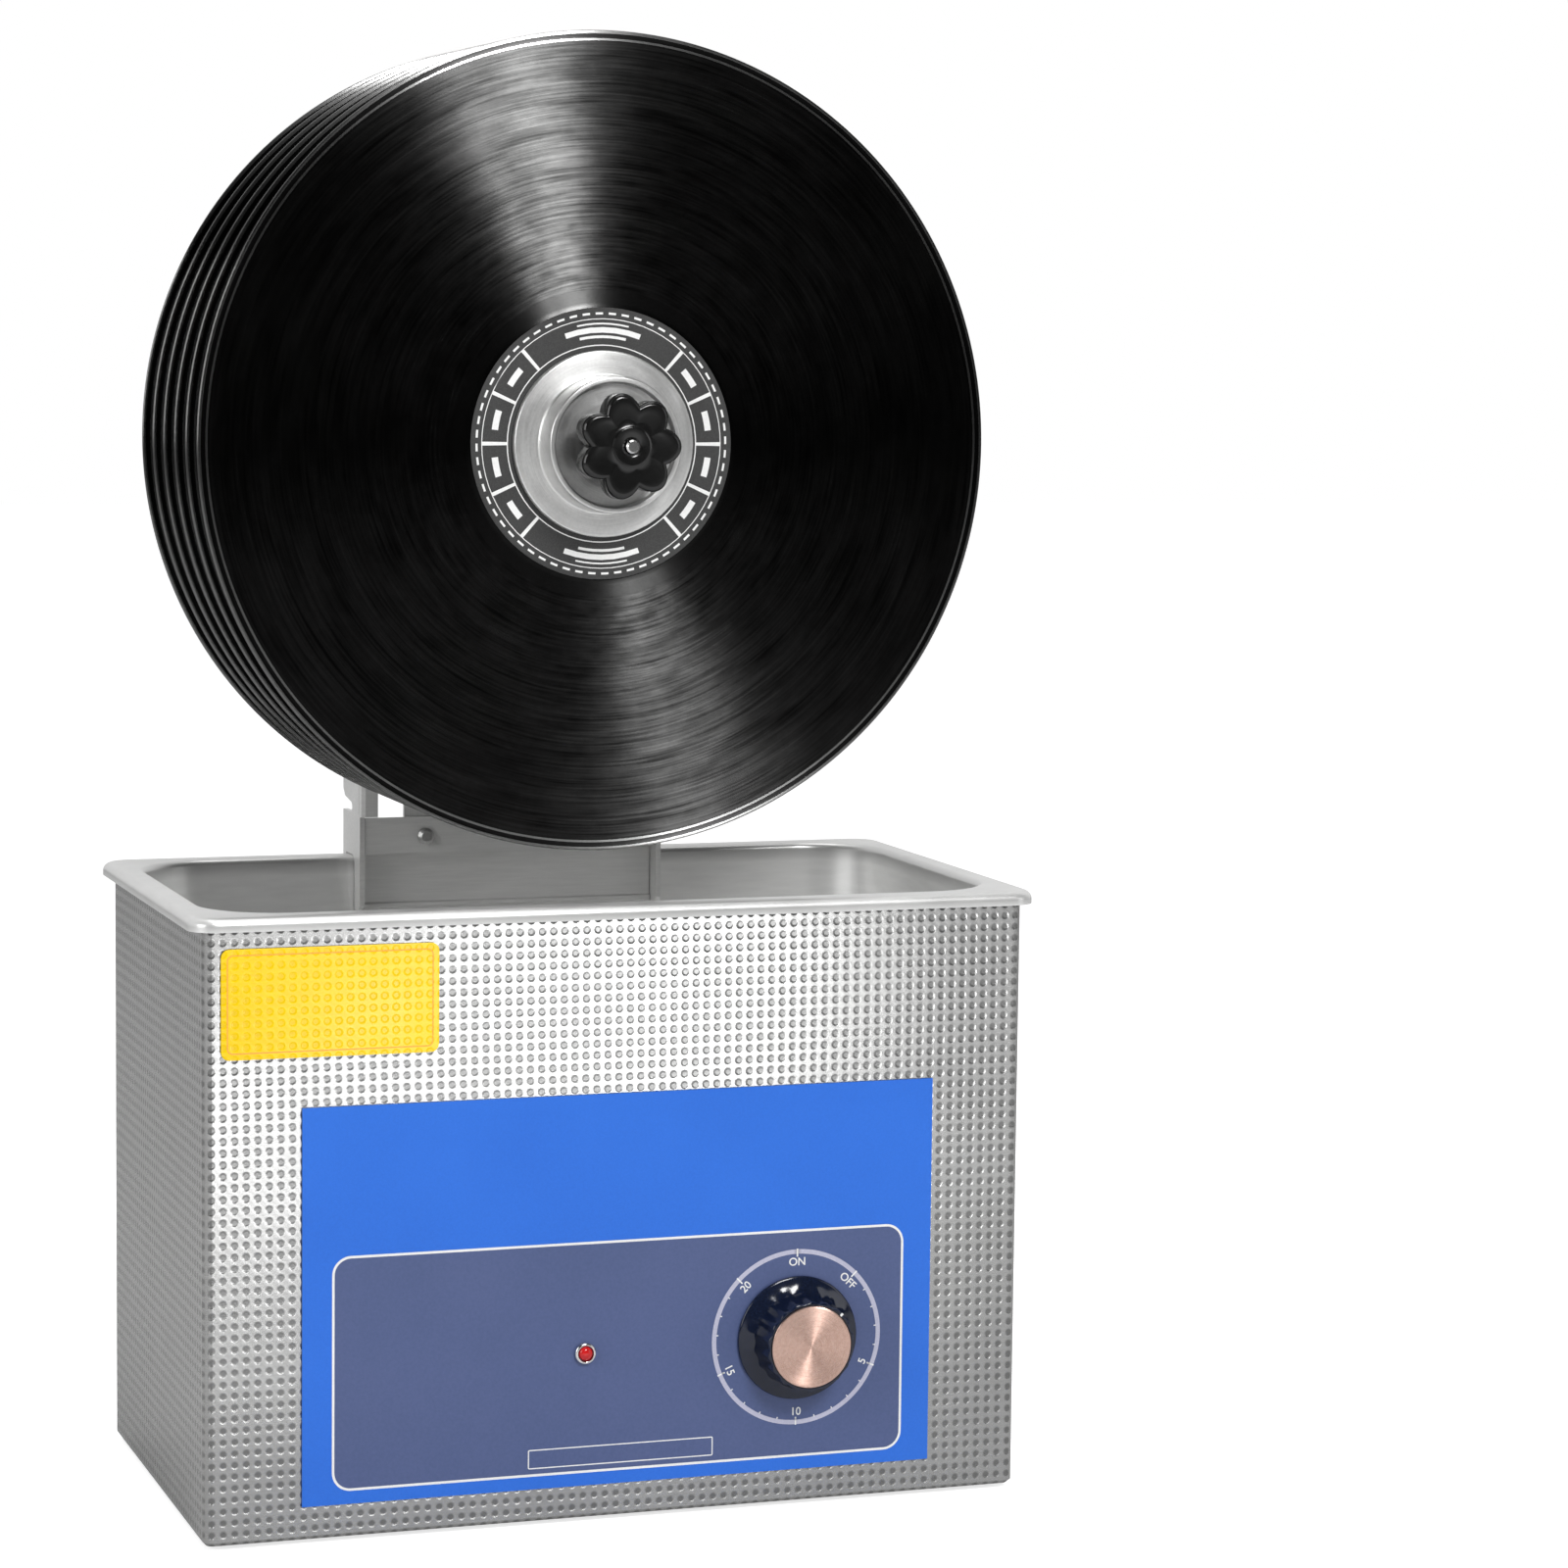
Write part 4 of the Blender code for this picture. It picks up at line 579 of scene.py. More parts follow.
BOX_CORNER = 0.0006
BOX_LINE = 0.0004
box_at = Vector((-0.0006, PANEL_FACE, 0.0257))
rings = printed_frame(BOX_HALF_X, BOX_HALF_Z, BOX_CORNER, BOX_LINE, box_at, PRINT * 2)
piece("panel_box", *net_mesh(rings, True), "cleaner", "panel_blue")

# %% The dial: ring, ticks and numbers
DIAL_RING = (0.0315, 0.0332)
DIAL_ANGLES = {"ON": 0.0, "OFF": 45.0, "5": 112.5, "10": 180.0, "15": 247.5, "20": 315.0}
MINUTE = 13.5
MINUTES = 20
MAJOR_TICK = (0.0319, (0.00028, 0.0015))
MINOR_TICK = (0.0312, (0.00018, 0.0004))
FIGURE_RADIUS = 0.0284
FIGURE_SIZE = 0.0042
FIGURE_WEIGHT = 0.012


def clock(angle, radius):
    """A point of the dial, the angle counted clockwise from the top."""
    a = math.radians(angle)
    return (TIMER.x + radius * math.sin(a), TIMER.z + radius * math.cos(a))


arcs = [(a, a + 30.0) for a in np.arange(12) * 30.0]
strips = polar_strips(arcs, [DIAL_RING] * len(arcs), PRINT * 2, PANEL_FACE, TIMER, 9)
piece("dial_ring", *strips, "cleaner", "panel_blue")
ticks = [(a, *MAJOR_TICK) for a in DIAL_ANGLES.values()]
ticks += [(DIAL_ANGLES["OFF"] + MINUTE * k, *MINOR_TICK) for k in range(1, MINUTES)]
centres = [clock(a, radius) for a, radius, halves in ticks]
boxes = bars(centres, [t[2] for t in ticks], [-t[0] for t in ticks], PANEL_FACE, PRINT * 3)
piece("dial_ticks", *boxes, "cleaner", "panel_blue")


# %% Numbers
def lettering(name, text, size, at, turn, thick):
    """Flat text made a mesh, turned clockwise by an angle and stood up on the panel at (x, z)."""
    curve = bpy.data.curves.new(name, "FONT")
    curve.body = text
    curve.size = size
    curve.extrude = thick
    curve.align_x = "CENTER"
    curve.align_y = "CENTER"
    curve.offset = size * FIGURE_WEIGHT
    source = show(name + "_curve", curve)
    bpy.context.view_layer.update()
    shaped = source.evaluated_get(bpy.context.evaluated_depsgraph_get())
    mesh = bpy.data.meshes.new_from_object(shaped)
    stand = Matrix.Rotation(math.radians(turn), 4, "Y") @ Matrix.Rotation(math.pi / 2, 4, "X")
    mesh.transform(Matrix.Translation((at[0], PANEL_FACE, at[1])) @ stand)
    bpy.data.objects.remove(source)
    points = np.empty(len(mesh.vertices) * 3)
    mesh.vertices.foreach_get("co", points)
    faces = [list(p.vertices) for p in mesh.polygons]
    bpy.data.meshes.remove(mesh)
    return piece(name, points.reshape(-1, 3), faces, "cleaner", "panel_blue", sharp=20.0)


numbers = []
for text, angle in DIAL_ANGLES.items():
    turn = angle - 180.0 if 90.0 < angle < 270.0 else angle
    at = clock(angle, FIGURE_RADIUS)
    numbers.append(lettering("dial_" + text.lower(), text, FIGURE_SIZE, at, turn, PRINT * 3))
print("dial words:", ", ".join(DIAL_ANGLES))

# %% [markdown]
# ## Lamp, plate and pointer
#
# Small pieces with a strong say in the likeness: a red dome in a bright ring, the thin line printed round the
# bare yellow plate, and the white pointer on the knob.

# %% Lamp
LENS = 0.0026
BEZEL = 0.0040
BEZEL_ROUND = 0.0008
BEZEL_LIP = 0.0003
DOME = 0.0016
bezel_back = PANEL_FACE - 0.0003
bezel_profile = np.vstack([
    [[LENS + BEZEL_LIP, bezel_back], [BEZEL, bezel_back]],
    bend((BEZEL - BEZEL_ROUND, bezel_back - BEZEL_ROUND), BEZEL_ROUND, 0, -90, 6),
    bend((LENS + BEZEL_LIP * 2, PANEL_FACE - 0.0016), BEZEL_LIP, -90, -180, 4),
])
turned_piece("lamp_bezel", bezel_profile, LAMP, 64, "cleaner", "shaft_steel", ["lamp_ring"], True)
LENS_LOW, LENS_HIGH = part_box("lamp_lens")
dome = bend((0.0, 0.0), 1.0, 0, -90, 9) * np.array([LENS, DOME]) + np.array([0.0, LENS_LOW.y + DOME])
lens_profile = np.vstack([[[0.0, LENS_HIGH.y], [LENS, LENS_HIGH.y]], dome])
lens_profile[:, 0] = np.maximum(lens_profile[:, 0], 0.0)
turned_piece("lamp_dome", lens_profile, LAMP, 48, "cleaner", "lamp_red", ["lamp_lens"])

# %% The plate's line and the knob's pointer
LINE_INSET = 0.0021
LINE_CORNER = 0.0022
LINE_WIDTH = 0.00045
POINTER_ANGLE = 46.0
POINTER_RADIUS = 0.0163
POINTER_HALVES = (0.00045, 0.0006)
plate_at = Vector(((PLATE_LOW.x + PLATE_HIGH.x) / 2, PLATE_LOW.y, (PLATE_LOW.z + PLATE_HIGH.z) / 2))
line_half_x = (PLATE_HIGH.x - PLATE_LOW.x) / 2 - LINE_INSET
line_half_z = (PLATE_HIGH.z - PLATE_LOW.z) / 2 - LINE_INSET
rings = printed_frame(line_half_x, line_half_z, LINE_CORNER, LINE_WIDTH, plate_at, PRINT)
plate_line = piece("plate_line", *net_mesh(rings, True), "cleaner", "plate_yellow")
at = clock(POINTER_ANGLE, POINTER_RADIUS)
pointer = bars([at], [POINTER_HALVES], [-POINTER_ANGLE], KNOB_FRONT, PRINT)
piece("pointer_face", *pointer, "timer_dial", "knob_black")
print("pieces so far:", len(made_pieces))

# %% [markdown]
# ## Effects that several finishes share
#
# Real surfaces are never one colour. Three effects come back again and again, so each is a node group, built
# once: grain, which is stretched noise with slow smudges over it; the polar pattern of anything turned or
# pressed with grooves; and the dimples of the case.


# %% Small helpers for node trees
def add(tree, kind, **settings):
    """A node with its attributes set."""
    made = tree.nodes.new(kind)
    for key, value in settings.items():
        setattr(made, key, value)
    return made


def put(node, values):
    """Fill a node's inputs, keyed by name or number: a socket is linked, and a plain value is set."""
    for key, value in values.items():
        if isinstance(value, bpy.types.NodeSocket):
            node.id_data.links.new(value, node.inputs[key])
        else:
            node.inputs[key].default_value = value
    return node


def calc(tree, operation, *values):
    """A Math node; each input is a number or a socket."""
    return put(add(tree, "ShaderNodeMath", operation=operation), dict(enumerate(values))).outputs[0]


def spread(tree, value, low, high, to_low=0.0, to_high=1.0, kind="LINEAR"):
    """Map Range with a clamp; the values are numbers or sockets."""
    made = add(tree, "ShaderNodeMapRange", interpolation_type=kind)
    put(made, {"Value": value, "From Min": low, "From Max": high, "To Min": to_low, "To Max": to_high})
    return made.outputs["Result"]


def noise(tree, vector, scale, detail=2.0, rough=0.55):
    """Noise on a vector socket."""
    made = add(tree, "ShaderNodeTexNoise")
    put(made, {"Vector": vector, "Scale": scale, "Detail": detail, "Roughness": rough})
    return made.outputs["Fac"]


def blend_colour(tree, factor, first, second):
    """A colour mix; the colours are sockets."""
    return put(add(tree, "ShaderNodeMix", data_type="RGBA"), {0: factor, 6: first, 7: second}).outputs[2]


def dimmed(tree, colour, value):
    """A colour socket times a value socket."""
    made = put(add(tree, "ShaderNodeHueSaturation"), {"Color": colour, "Value": value})
    return made.outputs["Color"]


def object_axes(tree):
    """The X, Y and Z sockets of Object coordinates."""
    place = add(tree, "ShaderNodeTexCoord").outputs["Object"]
    return put(add(tree, "ShaderNodeSeparateXYZ"), {0: place}).outputs


def group(name, inputs, outputs):
    """An empty shader group with named sockets: inputs are (name, kind, default). Returns the tree, the
    sockets that it is given and its output node."""
    tree = bpy.data.node_groups.new(name, "ShaderNodeTree")
    for label, kind, default in inputs:
        socket = tree.interface.new_socket(name=label, in_out="INPUT", socket_type="NodeSocket" + kind)
        socket.default_value = default
    for label, kind in outputs:
        tree.interface.new_socket(name=label, in_out="OUTPUT", socket_type="NodeSocket" + kind)
    return tree, add(tree, "NodeGroupInput").outputs, add(tree, "NodeGroupOutput")


# %% Grain: stretched noise under slow smudges
FINE_SCALE = 3.7
SMUDGE_SIZE = 22.0


def build_grain():
    """Colour, roughness and height from noise on Object coordinates times Stretch, and from smudges."""
    inputs = [
        ("Stretch", "Vector", (900.0, 900.0, 900.0)),
        ("Dark", "Color", (0.4, 0.4, 0.4, 1.0)),
        ("Light", "Color", (0.6, 0.6, 0.6, 1.0)),
        ("Smooth", "Float", 0.3),
        ("Rough", "Float", 0.4),
        ("Smudge Size", "Float", SMUDGE_SIZE),
    ]
    outputs = [("Color", "Color"), ("Roughness", "Float"), ("Height", "Float")]
    tree, given, result = group("grain", inputs, outputs)
    place = add(tree, "ShaderNodeTexCoord").outputs["Object"]
    scaled = put(add(tree, "ShaderNodeVectorMath", operation="MULTIPLY"), {0: place, 1: given["Stretch"]})
    lines = noise(tree, scaled.outputs[0], 1.0, 4.0)
    fine = noise(tree, scaled.outputs[0], FINE_SCALE)
    slow = spread(tree, noise(tree, place, given["Smudge Size"], 3.0, 0.5), 0.3, 0.7)
    sharp = spread(tree, lines, 0.3, 0.7)
    tone = calc(tree, "MULTIPLY_ADD", sharp, 0.55, calc(tree, "MULTIPLY", slow, 0.45))
    gloss = calc(tree, "MULTIPLY_ADD", fine, 0.5, calc(tree, "MULTIPLY", slow, 0.5))
    put(result, {
        "Color": blend_colour(tree, tone, given["Dark"], given["Light"]),
        "Roughness": spread(tree, gloss, 0.2, 0.8, given["Smooth"], given["Rough"]),
        "Height": calc(tree, "MULTIPLY_ADD", fine, 0.4, calc(tree, "MULTIPLY", lines, 0.6)),
    })
    return tree


GRAIN = build_grain()


# %% Polar pattern: radius, and arcs of noise round an axis along Y
def build_polar():
    """Radius from the axis, bands that change with radius alone, and fine and broad arcs of noise."""
    inputs = [
        ("Centre X", "Float", 0.0), ("Centre Z", "Float", 0.0),
        ("Band Scale", "Float", 900.0), ("Arc Scale", "Float", 2.0),
    ]
    outputs = [("Radius", "Float"), ("Bands", "Float"), ("Arcs", "Float"), ("Broad", "Float")]
    tree, given, result = group("polar", inputs, outputs)
    place = object_axes(tree)
    x = calc(tree, "SUBTRACT", place["X"], given["Centre X"])
    z = calc(tree, "SUBTRACT", place["Z"], given["Centre Z"])
    radius = calc(tree, "SQRT", calc(tree, "MULTIPLY_ADD", x, x, calc(tree, "MULTIPLY", z, z)))
    across = calc(tree, "MULTIPLY", radius, given["Band Scale"])
    cosine = calc(tree, "MULTIPLY", calc(tree, "DIVIDE", x, radius), given["Arc Scale"])
    sine = calc(tree, "MULTIPLY", calc(tree, "DIVIDE", z, radius), given["Arc Scale"])

    def arcs(band_share, arc_share, detail, rough=0.55):
        """Noise with the radius along one axis and the angle's cosine and sine on two, so without a seam."""
        parts = ((across, band_share), (cosine, arc_share), (sine, arc_share))
        shares = [calc(tree, "MULTIPLY", value, share) for value, share in parts]
        point = put(add(tree, "ShaderNodeCombineXYZ"), dict(enumerate(shares)))
        return noise(tree, point.outputs[0], 1.0, detail, rough)

    put(result, {"Radius": radius, "Bands": arcs(1.0, 0.0, 3.0), "Arcs": arcs(1.0, 1.0, 3.0, 0.6)})
    put(result, {"Broad": arcs(0.14, 1.7, 2.0)})
    return tree


POLAR = build_polar()

# %% Dimples of the pressed sheet
DIMPLE_PITCH = 0.0042
SIDE_WALL = 0.1545
DIMPLE_FLOOR = 0.18
DIMPLE_BRIM = 0.40


def build_dimples():
    """Ground is 0 in the bottom of a dimple and 1 between them: a smooth step of the distance from the
    nearest centre of a square grid, which runs along X on the long walls and along Y on the short ones.
    Ridges is a slow wave across the grid."""
    inputs = [("Pitch", "Float", DIMPLE_PITCH), ("Wall X", "Float", SIDE_WALL)]
    tree, given, result = group("dimples", inputs, [("Ground", "Float"), ("Ridges", "Float")])
    place = object_axes(tree)
    on_side = calc(tree, "GREATER_THAN", calc(tree, "ABSOLUTE", place["X"]), given["Wall X"])
    along_y = calc(tree, "MULTIPLY", on_side, calc(tree, "SUBTRACT", place["Y"], place["X"]))
    along = calc(tree, "DIVIDE", calc(tree, "ADD", place["X"], along_y), given["Pitch"])
    up = calc(tree, "DIVIDE", place["Z"], given["Pitch"])
    u = calc(tree, "SUBTRACT", calc(tree, "FRACT", along), 0.5)
    v = calc(tree, "SUBTRACT", calc(tree, "FRACT", up), 0.5)
    distance = calc(tree, "SQRT", calc(tree, "MULTIPLY_ADD", u, u, calc(tree, "MULTIPLY", v, v)))
    wave = calc(tree, "SINE", calc(tree, "MULTIPLY", calc(tree, "ADD", along, up), 2 * math.pi))
    put(result, {
        "Ground": spread(tree, distance, DIMPLE_FLOOR, DIMPLE_BRIM, kind="SMOOTHSTEP"),
        "Ridges": calc(tree, "MULTIPLY_ADD", wave, 0.5, 0.5),
    })
    return tree


DIMPLES = build_dimples()
print("node groups:", ", ".join(tree.name for tree in (GRAIN, POLAR, DIMPLES)))

# %% [markdown]
# ## Finishes
#
# Each finish is a Principled shader fed by those groups. Fixed values, such as how strong the specular is,
# sit on the shader itself. A bump node turns the pattern's height into the small tilts that a finish needs.


# %% A finish with grain
def finish(name, dark, light, gloss, stretch, height, metallic=0.0, **shader_values):
    """A material of grain: colours and gloss from low to high, stretch per metre along X, Y and Z, and the
    bump's height in metres. Returns the material, its shader, the grain node and the bump."""
    made = bpy.data.materials.new(name)
    made.use_nodes = True
    tree = made.node_tree
    grain = put(add(tree, "ShaderNodeGroup", node_tree=GRAIN), {
        "Stretch": stretch, "Dark": (*dark, 1.0), "Light": (*light, 1.0),
        "Smooth": gloss[0], "Rough": gloss[1],
    })
    bump = put(add(tree, "ShaderNodeBump"), {"Distance": height, "Height": grain.outputs["Height"]})
    shader = put(tree.nodes["Principled BSDF"], {
        "Base Color": grain.outputs["Color"], "Roughness": grain.outputs["Roughness"],
        "Normal": bump.outputs["Normal"], "Metallic": metallic,
    })
    put(shader, {key.replace("_", " "): value for key, value in shader_values.items()})
    return made, shader, grain, bump


def grey(value):
    """One grey as three numbers."""
    return (value, value, value * 0.99)


def even(value):
    """One stretch for all three axes."""
    return (value, value, value)


# %% Steels, rubber, mouldings and inks
FINE = 0.00001
# Dark and light colour, low and high gloss, stretch, bump height, and metallic where it isn't 0.
PLAIN_FINISHES = {
    "base_steel": (grey(0.42), grey(0.54), (0.38, 0.50), (90.0, 900.0, 900.0), FINE, 1.0),
    "hanger_steel": (grey(0.68), grey(0.80), (0.34, 0.46), (70.0, 1100.0, 1100.0), FINE, 0.5),
    "mast_steel": (grey(0.58), grey(0.70), (0.28, 0.40), (1100.0, 1100.0, 70.0), FINE, 0.7),
    "screw_steel": (grey(0.36), grey(0.50), (0.28, 0.45), even(700.0), FINE, 1.0),
    "shaft_steel": (grey(0.64), grey(0.76), (0.12, 0.22), (900.0, 300.0, 900.0), FINE, 1.0),
    "motor_steel": (grey(0.46), grey(0.58), (0.30, 0.42), (900.0, 120.0, 900.0), FINE, 1.0),
    "horn_aluminium": (grey(0.60), grey(0.72), (0.34, 0.46), (900.0, 900.0, 200.0), FINE, 1.0),
    "bearing_bronze": (
        (0.44, 0.28, 0.13), (0.56, 0.38, 0.19), (0.34, 0.46), (600.0, 200.0, 600.0), FINE, 1.0,
    ),
    "thumb_brass": ((0.48, 0.36, 0.14), (0.62, 0.48, 0.22), (0.28, 0.42), even(500.0), FINE, 1.0),
    "foot_rubber": (grey(0.02), grey(0.04), (0.70, 0.90), even(1500.0), 0.00003),
    "inlet_black": (grey(0.02), grey(0.04), (0.38, 0.55), even(1800.0), 0.00002),
    "board_green": ((0.01, 0.13, 0.05), (0.04, 0.24, 0.09), (0.35, 0.55), even(400.0), 0.00003),
    "timer_grey": (grey(0.28), grey(0.38), (0.45, 0.60), even(1500.0), 0.00002),
    "sleeve_grey": (grey(0.46), grey(0.56), (0.38, 0.55), even(1600.0), 0.00003),
    "motor_black": (grey(0.02), grey(0.04), (0.42, 0.60), even(1500.0), 0.00002),
    "spacer_grey": (grey(0.14), grey(0.22), (0.42, 0.58), even(1500.0), 0.00002),
    "knob_black": ((0.003, 0.005, 0.014), (0.007, 0.012, 0.032), (0.08, 0.16), even(900.0), 0.000005),
    "star_black": (grey(0.003), grey(0.009), (0.12, 0.22), even(1300.0), 0.000008),
    "label_dark": (grey(0.012), grey(0.05), (0.50, 0.70), even(2200.0), 0.00002),
    "lamp_red": ((0.30, 0.004, 0.006), (0.75, 0.02, 0.02), (0.06, 0.14), even(500.0), 0.00001),
    "panel_blue": ((0.010, 0.125, 0.60), (0.016, 0.150, 0.68), (0.34, 0.46), even(1400.0), 0.00001),
    "panel_slate": ((0.056, 0.084, 0.200), (0.078, 0.106, 0.240), (0.36, 0.50), even(900.0), 0.00001),
    "ink_white": (grey(0.72), grey(0.86), (0.45, 0.60), even(1500.0), 0.00001),
    "ink_lavender": ((0.40, 0.40, 0.52), (0.52, 0.52, 0.64), (0.45, 0.60), even(1500.0), 0.00001),
    "ink_orange": ((0.60, 0.22, 0.01), (0.78, 0.34, 0.02), (0.45, 0.60), even(1500.0), 0.00001),
}
finishes = {name: finish(name, *values)[0] for name, values in PLAIN_FINISHES.items()}
print("plain finishes:", len(finishes))

# %% The bath's steel: its rolled rim has painted shade, darker in colour than the walls below it
RIM_SHADE_HEIGHT = TANK_HIGH.z - 0.003
RIM_FADE = 0.004
PAINTED_RIM_SHADE = 0.66
bath_values = (grey(0.80), grey(0.92), (0.28, 0.38), (60.0, 60.0, 400.0), FINE * 0.3, 0.6)
made, shader, grain, bump = finish("tank_steel", *bath_values)
tree = made.node_tree
# Painted shade: the base colour is darkened above this height, on the rolled rim.
painted_shade = spread(tree, object_axes(tree)["Z"], RIM_SHADE_HEIGHT - RIM_FADE, RIM_SHADE_HEIGHT, 1.0, PAINTED_RIM_SHADE)
put(shader, {"Base Color": dimmed(tree, grain.outputs["Color"], painted_shade)})
finishes["tank_steel"] = made
print("bath finished; its rim is painted_darker above z %.1f mm" % (RIM_SHADE_HEIGHT * 1000))

# %% [markdown]
# ## The pressed steel of the case
#
# The sheet has a grid of small round dimples. Each tilts the reflection, so bright and dark dots appear
# according to what it faces, and each dimple's colour is also darkened as painted shade. The bump comes
# from the dimple group, with the grain's fine lines added to it.


# %% Dimpled steel and the film over it
SHEET_LINES = (120.0, 120.0, 1200.0)
LINES_SHARE = 0.03
RIDGES_SHARE = 0.12


def dimpled(name, dark, light, gloss, depth, painted_shade, metallic, **values):
    """Grain whose colour is darker in each dimple, as a painted shade in the hollow, and whose bump has
    the dimples' depth.
    """
    made, shader, grain, bump = finish(name, dark, light, gloss, SHEET_LINES, depth, metallic, **values)
    tree = made.node_tree
    press = add(tree, "ShaderNodeGroup", node_tree=DIMPLES)
    # Painted shade: the base colour is darkened in the bottom of each dimple.
    value = spread(tree, press.outputs["Ground"], 0.0, 1.0, painted_shade, 1.0)
    put(shader, {"Base Color": dimmed(tree, grain.outputs["Color"], value)})
    height = calc(tree, "MULTIPLY_ADD", grain.outputs["Height"], LINES_SHARE, press.outputs["Ground"])
    put(bump, {"Height": calc(tree, "MULTIPLY_ADD", press.outputs["Ridges"], RIDGES_SHARE, height)})
    return made


finishes["case_steel"] = dimpled("case_steel", grey(0.29), grey(0.36), (0.23, 0.30), 0.00010, 0.50, 0.8)
finishes["plate_yellow"] = dimpled(
    "plate_yellow", (0.66, 0.43, 0.001), (0.74, 0.51, 0.002), (0.20, 0.30), 0.00008, 0.92, 0.0,
    Specular_IOR_Level=0.10)
print("case and plate finished; finishes:", len(finishes))

# %% [markdown]
# ## Vinyl
#
# Grooves run round the disc, so they spread a highlight across themselves, along the radius: light shows as
# two wedges on opposite sides of the hole. Anisotropy with a radial tangent does that. The run of the music
# makes the wedges streaky. The vinyl is drawn as a dark metal, because a metal's Base Color is also the
# colour of its glare, and so bands and arcs in that colour dim the glare itself. The bead at the edge and
# the line at the run-in get a painted highlight: their colour is made several times brighter.


# %% Grooved and turned finishes
GROOVE_TURN = 0.25
# Painted highlight: how much the colour of the bead and of the run-in line is raised.
PAINTED_EDGE_HIGHLIGHT = 7.0
BEAD_RADIUS = 0.1495
LINE_RADIUS = 0.1474
LINE_HALF = 0.0004


def ringed(name, grain_values, centre, scales, anisotropy, streak, gloss_shift, zone=None):
    """Grain with polar streaks: streak is the share of the colour that is left where a streak is darkest.

    scales are those of bands and arcs. zone is the pair of radii between which there are grooves; outside
    it the surface is plain, but for a painted highlight on the bead and the line."""
    turned_values = {"Anisotropic": anisotropy, "Anisotropic_Rotation": GROOVE_TURN}
    made, shader, grain, bump = finish(name, *grain_values, **turned_values)
    tree = made.node_tree
    polar = put(add(tree, "ShaderNodeGroup", node_tree=POLAR), {
        "Centre X": centre.x, "Centre Z": centre.z, "Band Scale": scales[0], "Arc Scale": scales[1],
    })
    radius, bands, arcs, broad = (polar.outputs[label] for label in ("Radius", "Bands", "Arcs", "Broad"))
    mixed = calc(tree, "MULTIPLY_ADD", bands, 0.25, calc(tree, "MULTIPLY", arcs, 0.45))
    streaks = spread(tree, calc(tree, "MULTIPLY_ADD", broad, 0.30, mixed), 0.38, 0.62)
    if zone is not None:
        past, short = calc(tree, "GREATER_THAN", radius, zone[0]), calc(tree, "LESS_THAN", radius, zone[1])
        inside = calc(tree, "MULTIPLY", past, short)
        plain = calc(tree, "MULTIPLY_ADD", inside, -0.5, 0.5)
        streaks = calc(tree, "MULTIPLY_ADD", streaks, inside, plain)
    value = spread(tree, streaks, 0.0, 1.0, streak, 1.0)
    if zone is not None:
        # Painted highlight on the bead at the edge and on the line at the run-in.
        bead = calc(tree, "GREATER_THAN", radius, BEAD_RADIUS)
        line = calc(tree, "COMPARE", radius, LINE_RADIUS, LINE_HALF)
        value = calc(tree, "MULTIPLY_ADD", calc(tree, "ADD", bead, line), PAINTED_EDGE_HIGHLIGHT, value)
    tangent = add(tree, "ShaderNodeTangent", direction_type="RADIAL", axis="Y")
    put(shader, {
        "Base Color": dimmed(tree, grain.outputs["Color"], value),
        "Roughness": calc(tree, "MULTIPLY_ADD", streaks, gloss_shift, grain.outputs["Roughness"]),
        "Tangent": tangent.outputs["Tangent"],
    })
    fine = calc(tree, "MULTIPLY", grain.outputs["Height"], 0.1)
    put(bump, {"Height": calc(tree, "MULTIPLY_ADD", bands, 0.9, fine)})
    return made


GROOVED_ZONE = (0.0565, 0.1466)
VINYL = (grey(0.016), grey(0.022), (0.22, 0.25), even(400.0), 0.000004, 1.0)
TURNED = (grey(0.72), grey(0.86), (0.30, 0.40), even(900.0), 0.00001, 1.0)
SPUN = ((0.58, 0.37, 0.30), (0.76, 0.54, 0.46), (0.22, 0.30), even(900.0), 0.000008, 1.0)
RINGED_FINISHES = {
    "record_black": (VINYL, SPINDLE, (1100.0, 3.0), 1.0, 0.25, 0.03, GROOVED_ZONE),
    "clamp_metal": (TURNED, SPINDLE, (2600.0, 1.5), 0.5, 0.82, 0.08),
    "knob_copper": (SPUN, TIMER, (5200.0, 1.0), 0.85, 0.85, 0.06),
}
finishes.update({name: ringed(name, *values) for name, values in RINGED_FINISHES.items()})
print("turned finishes:", ", ".join(RINGED_FINISHES))


# %% Give every piece and every CAD node its finish
def dress(item, finish_name):
    """Put one finish on an object, in place of what it has."""
    item.data.materials.clear()
    item.data.materials.append(finishes[finish_name])


slots = {part["node"]: part["material_slot"] for part in frame["record"]["subparts"]}
for node_name, item in frame["nodes"].items():
    dress(item, slots[node_name])
WHITE_PRINT = ["label_print", "panel_frame", "panel_box", "dial_ticks", "pointer_face"]
own_finish = {"panel_field": "panel_slate", "dial_ring": "ink_lavender", "plate_line": "ink_orange"}
own_finish.update({name: "ink_white" for name in WHITE_PRINT + [item.name for item in numbers]})
for item in made_pieces:
    dress(item, own_finish.get(item.name, item["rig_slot"]))
print("pieces:", len(made_pieces), "nodes:", len(frame["nodes"]))

# %% [markdown]
# ## Floor and room
#
# The floor is pale and wide. It adds a little light of its own for camera rays, so that it reads as white and
# still takes the machine's shadow. The world is white to the camera, and dimmer in front of the machine as
# metal sees it, as a room behind a photographer is.

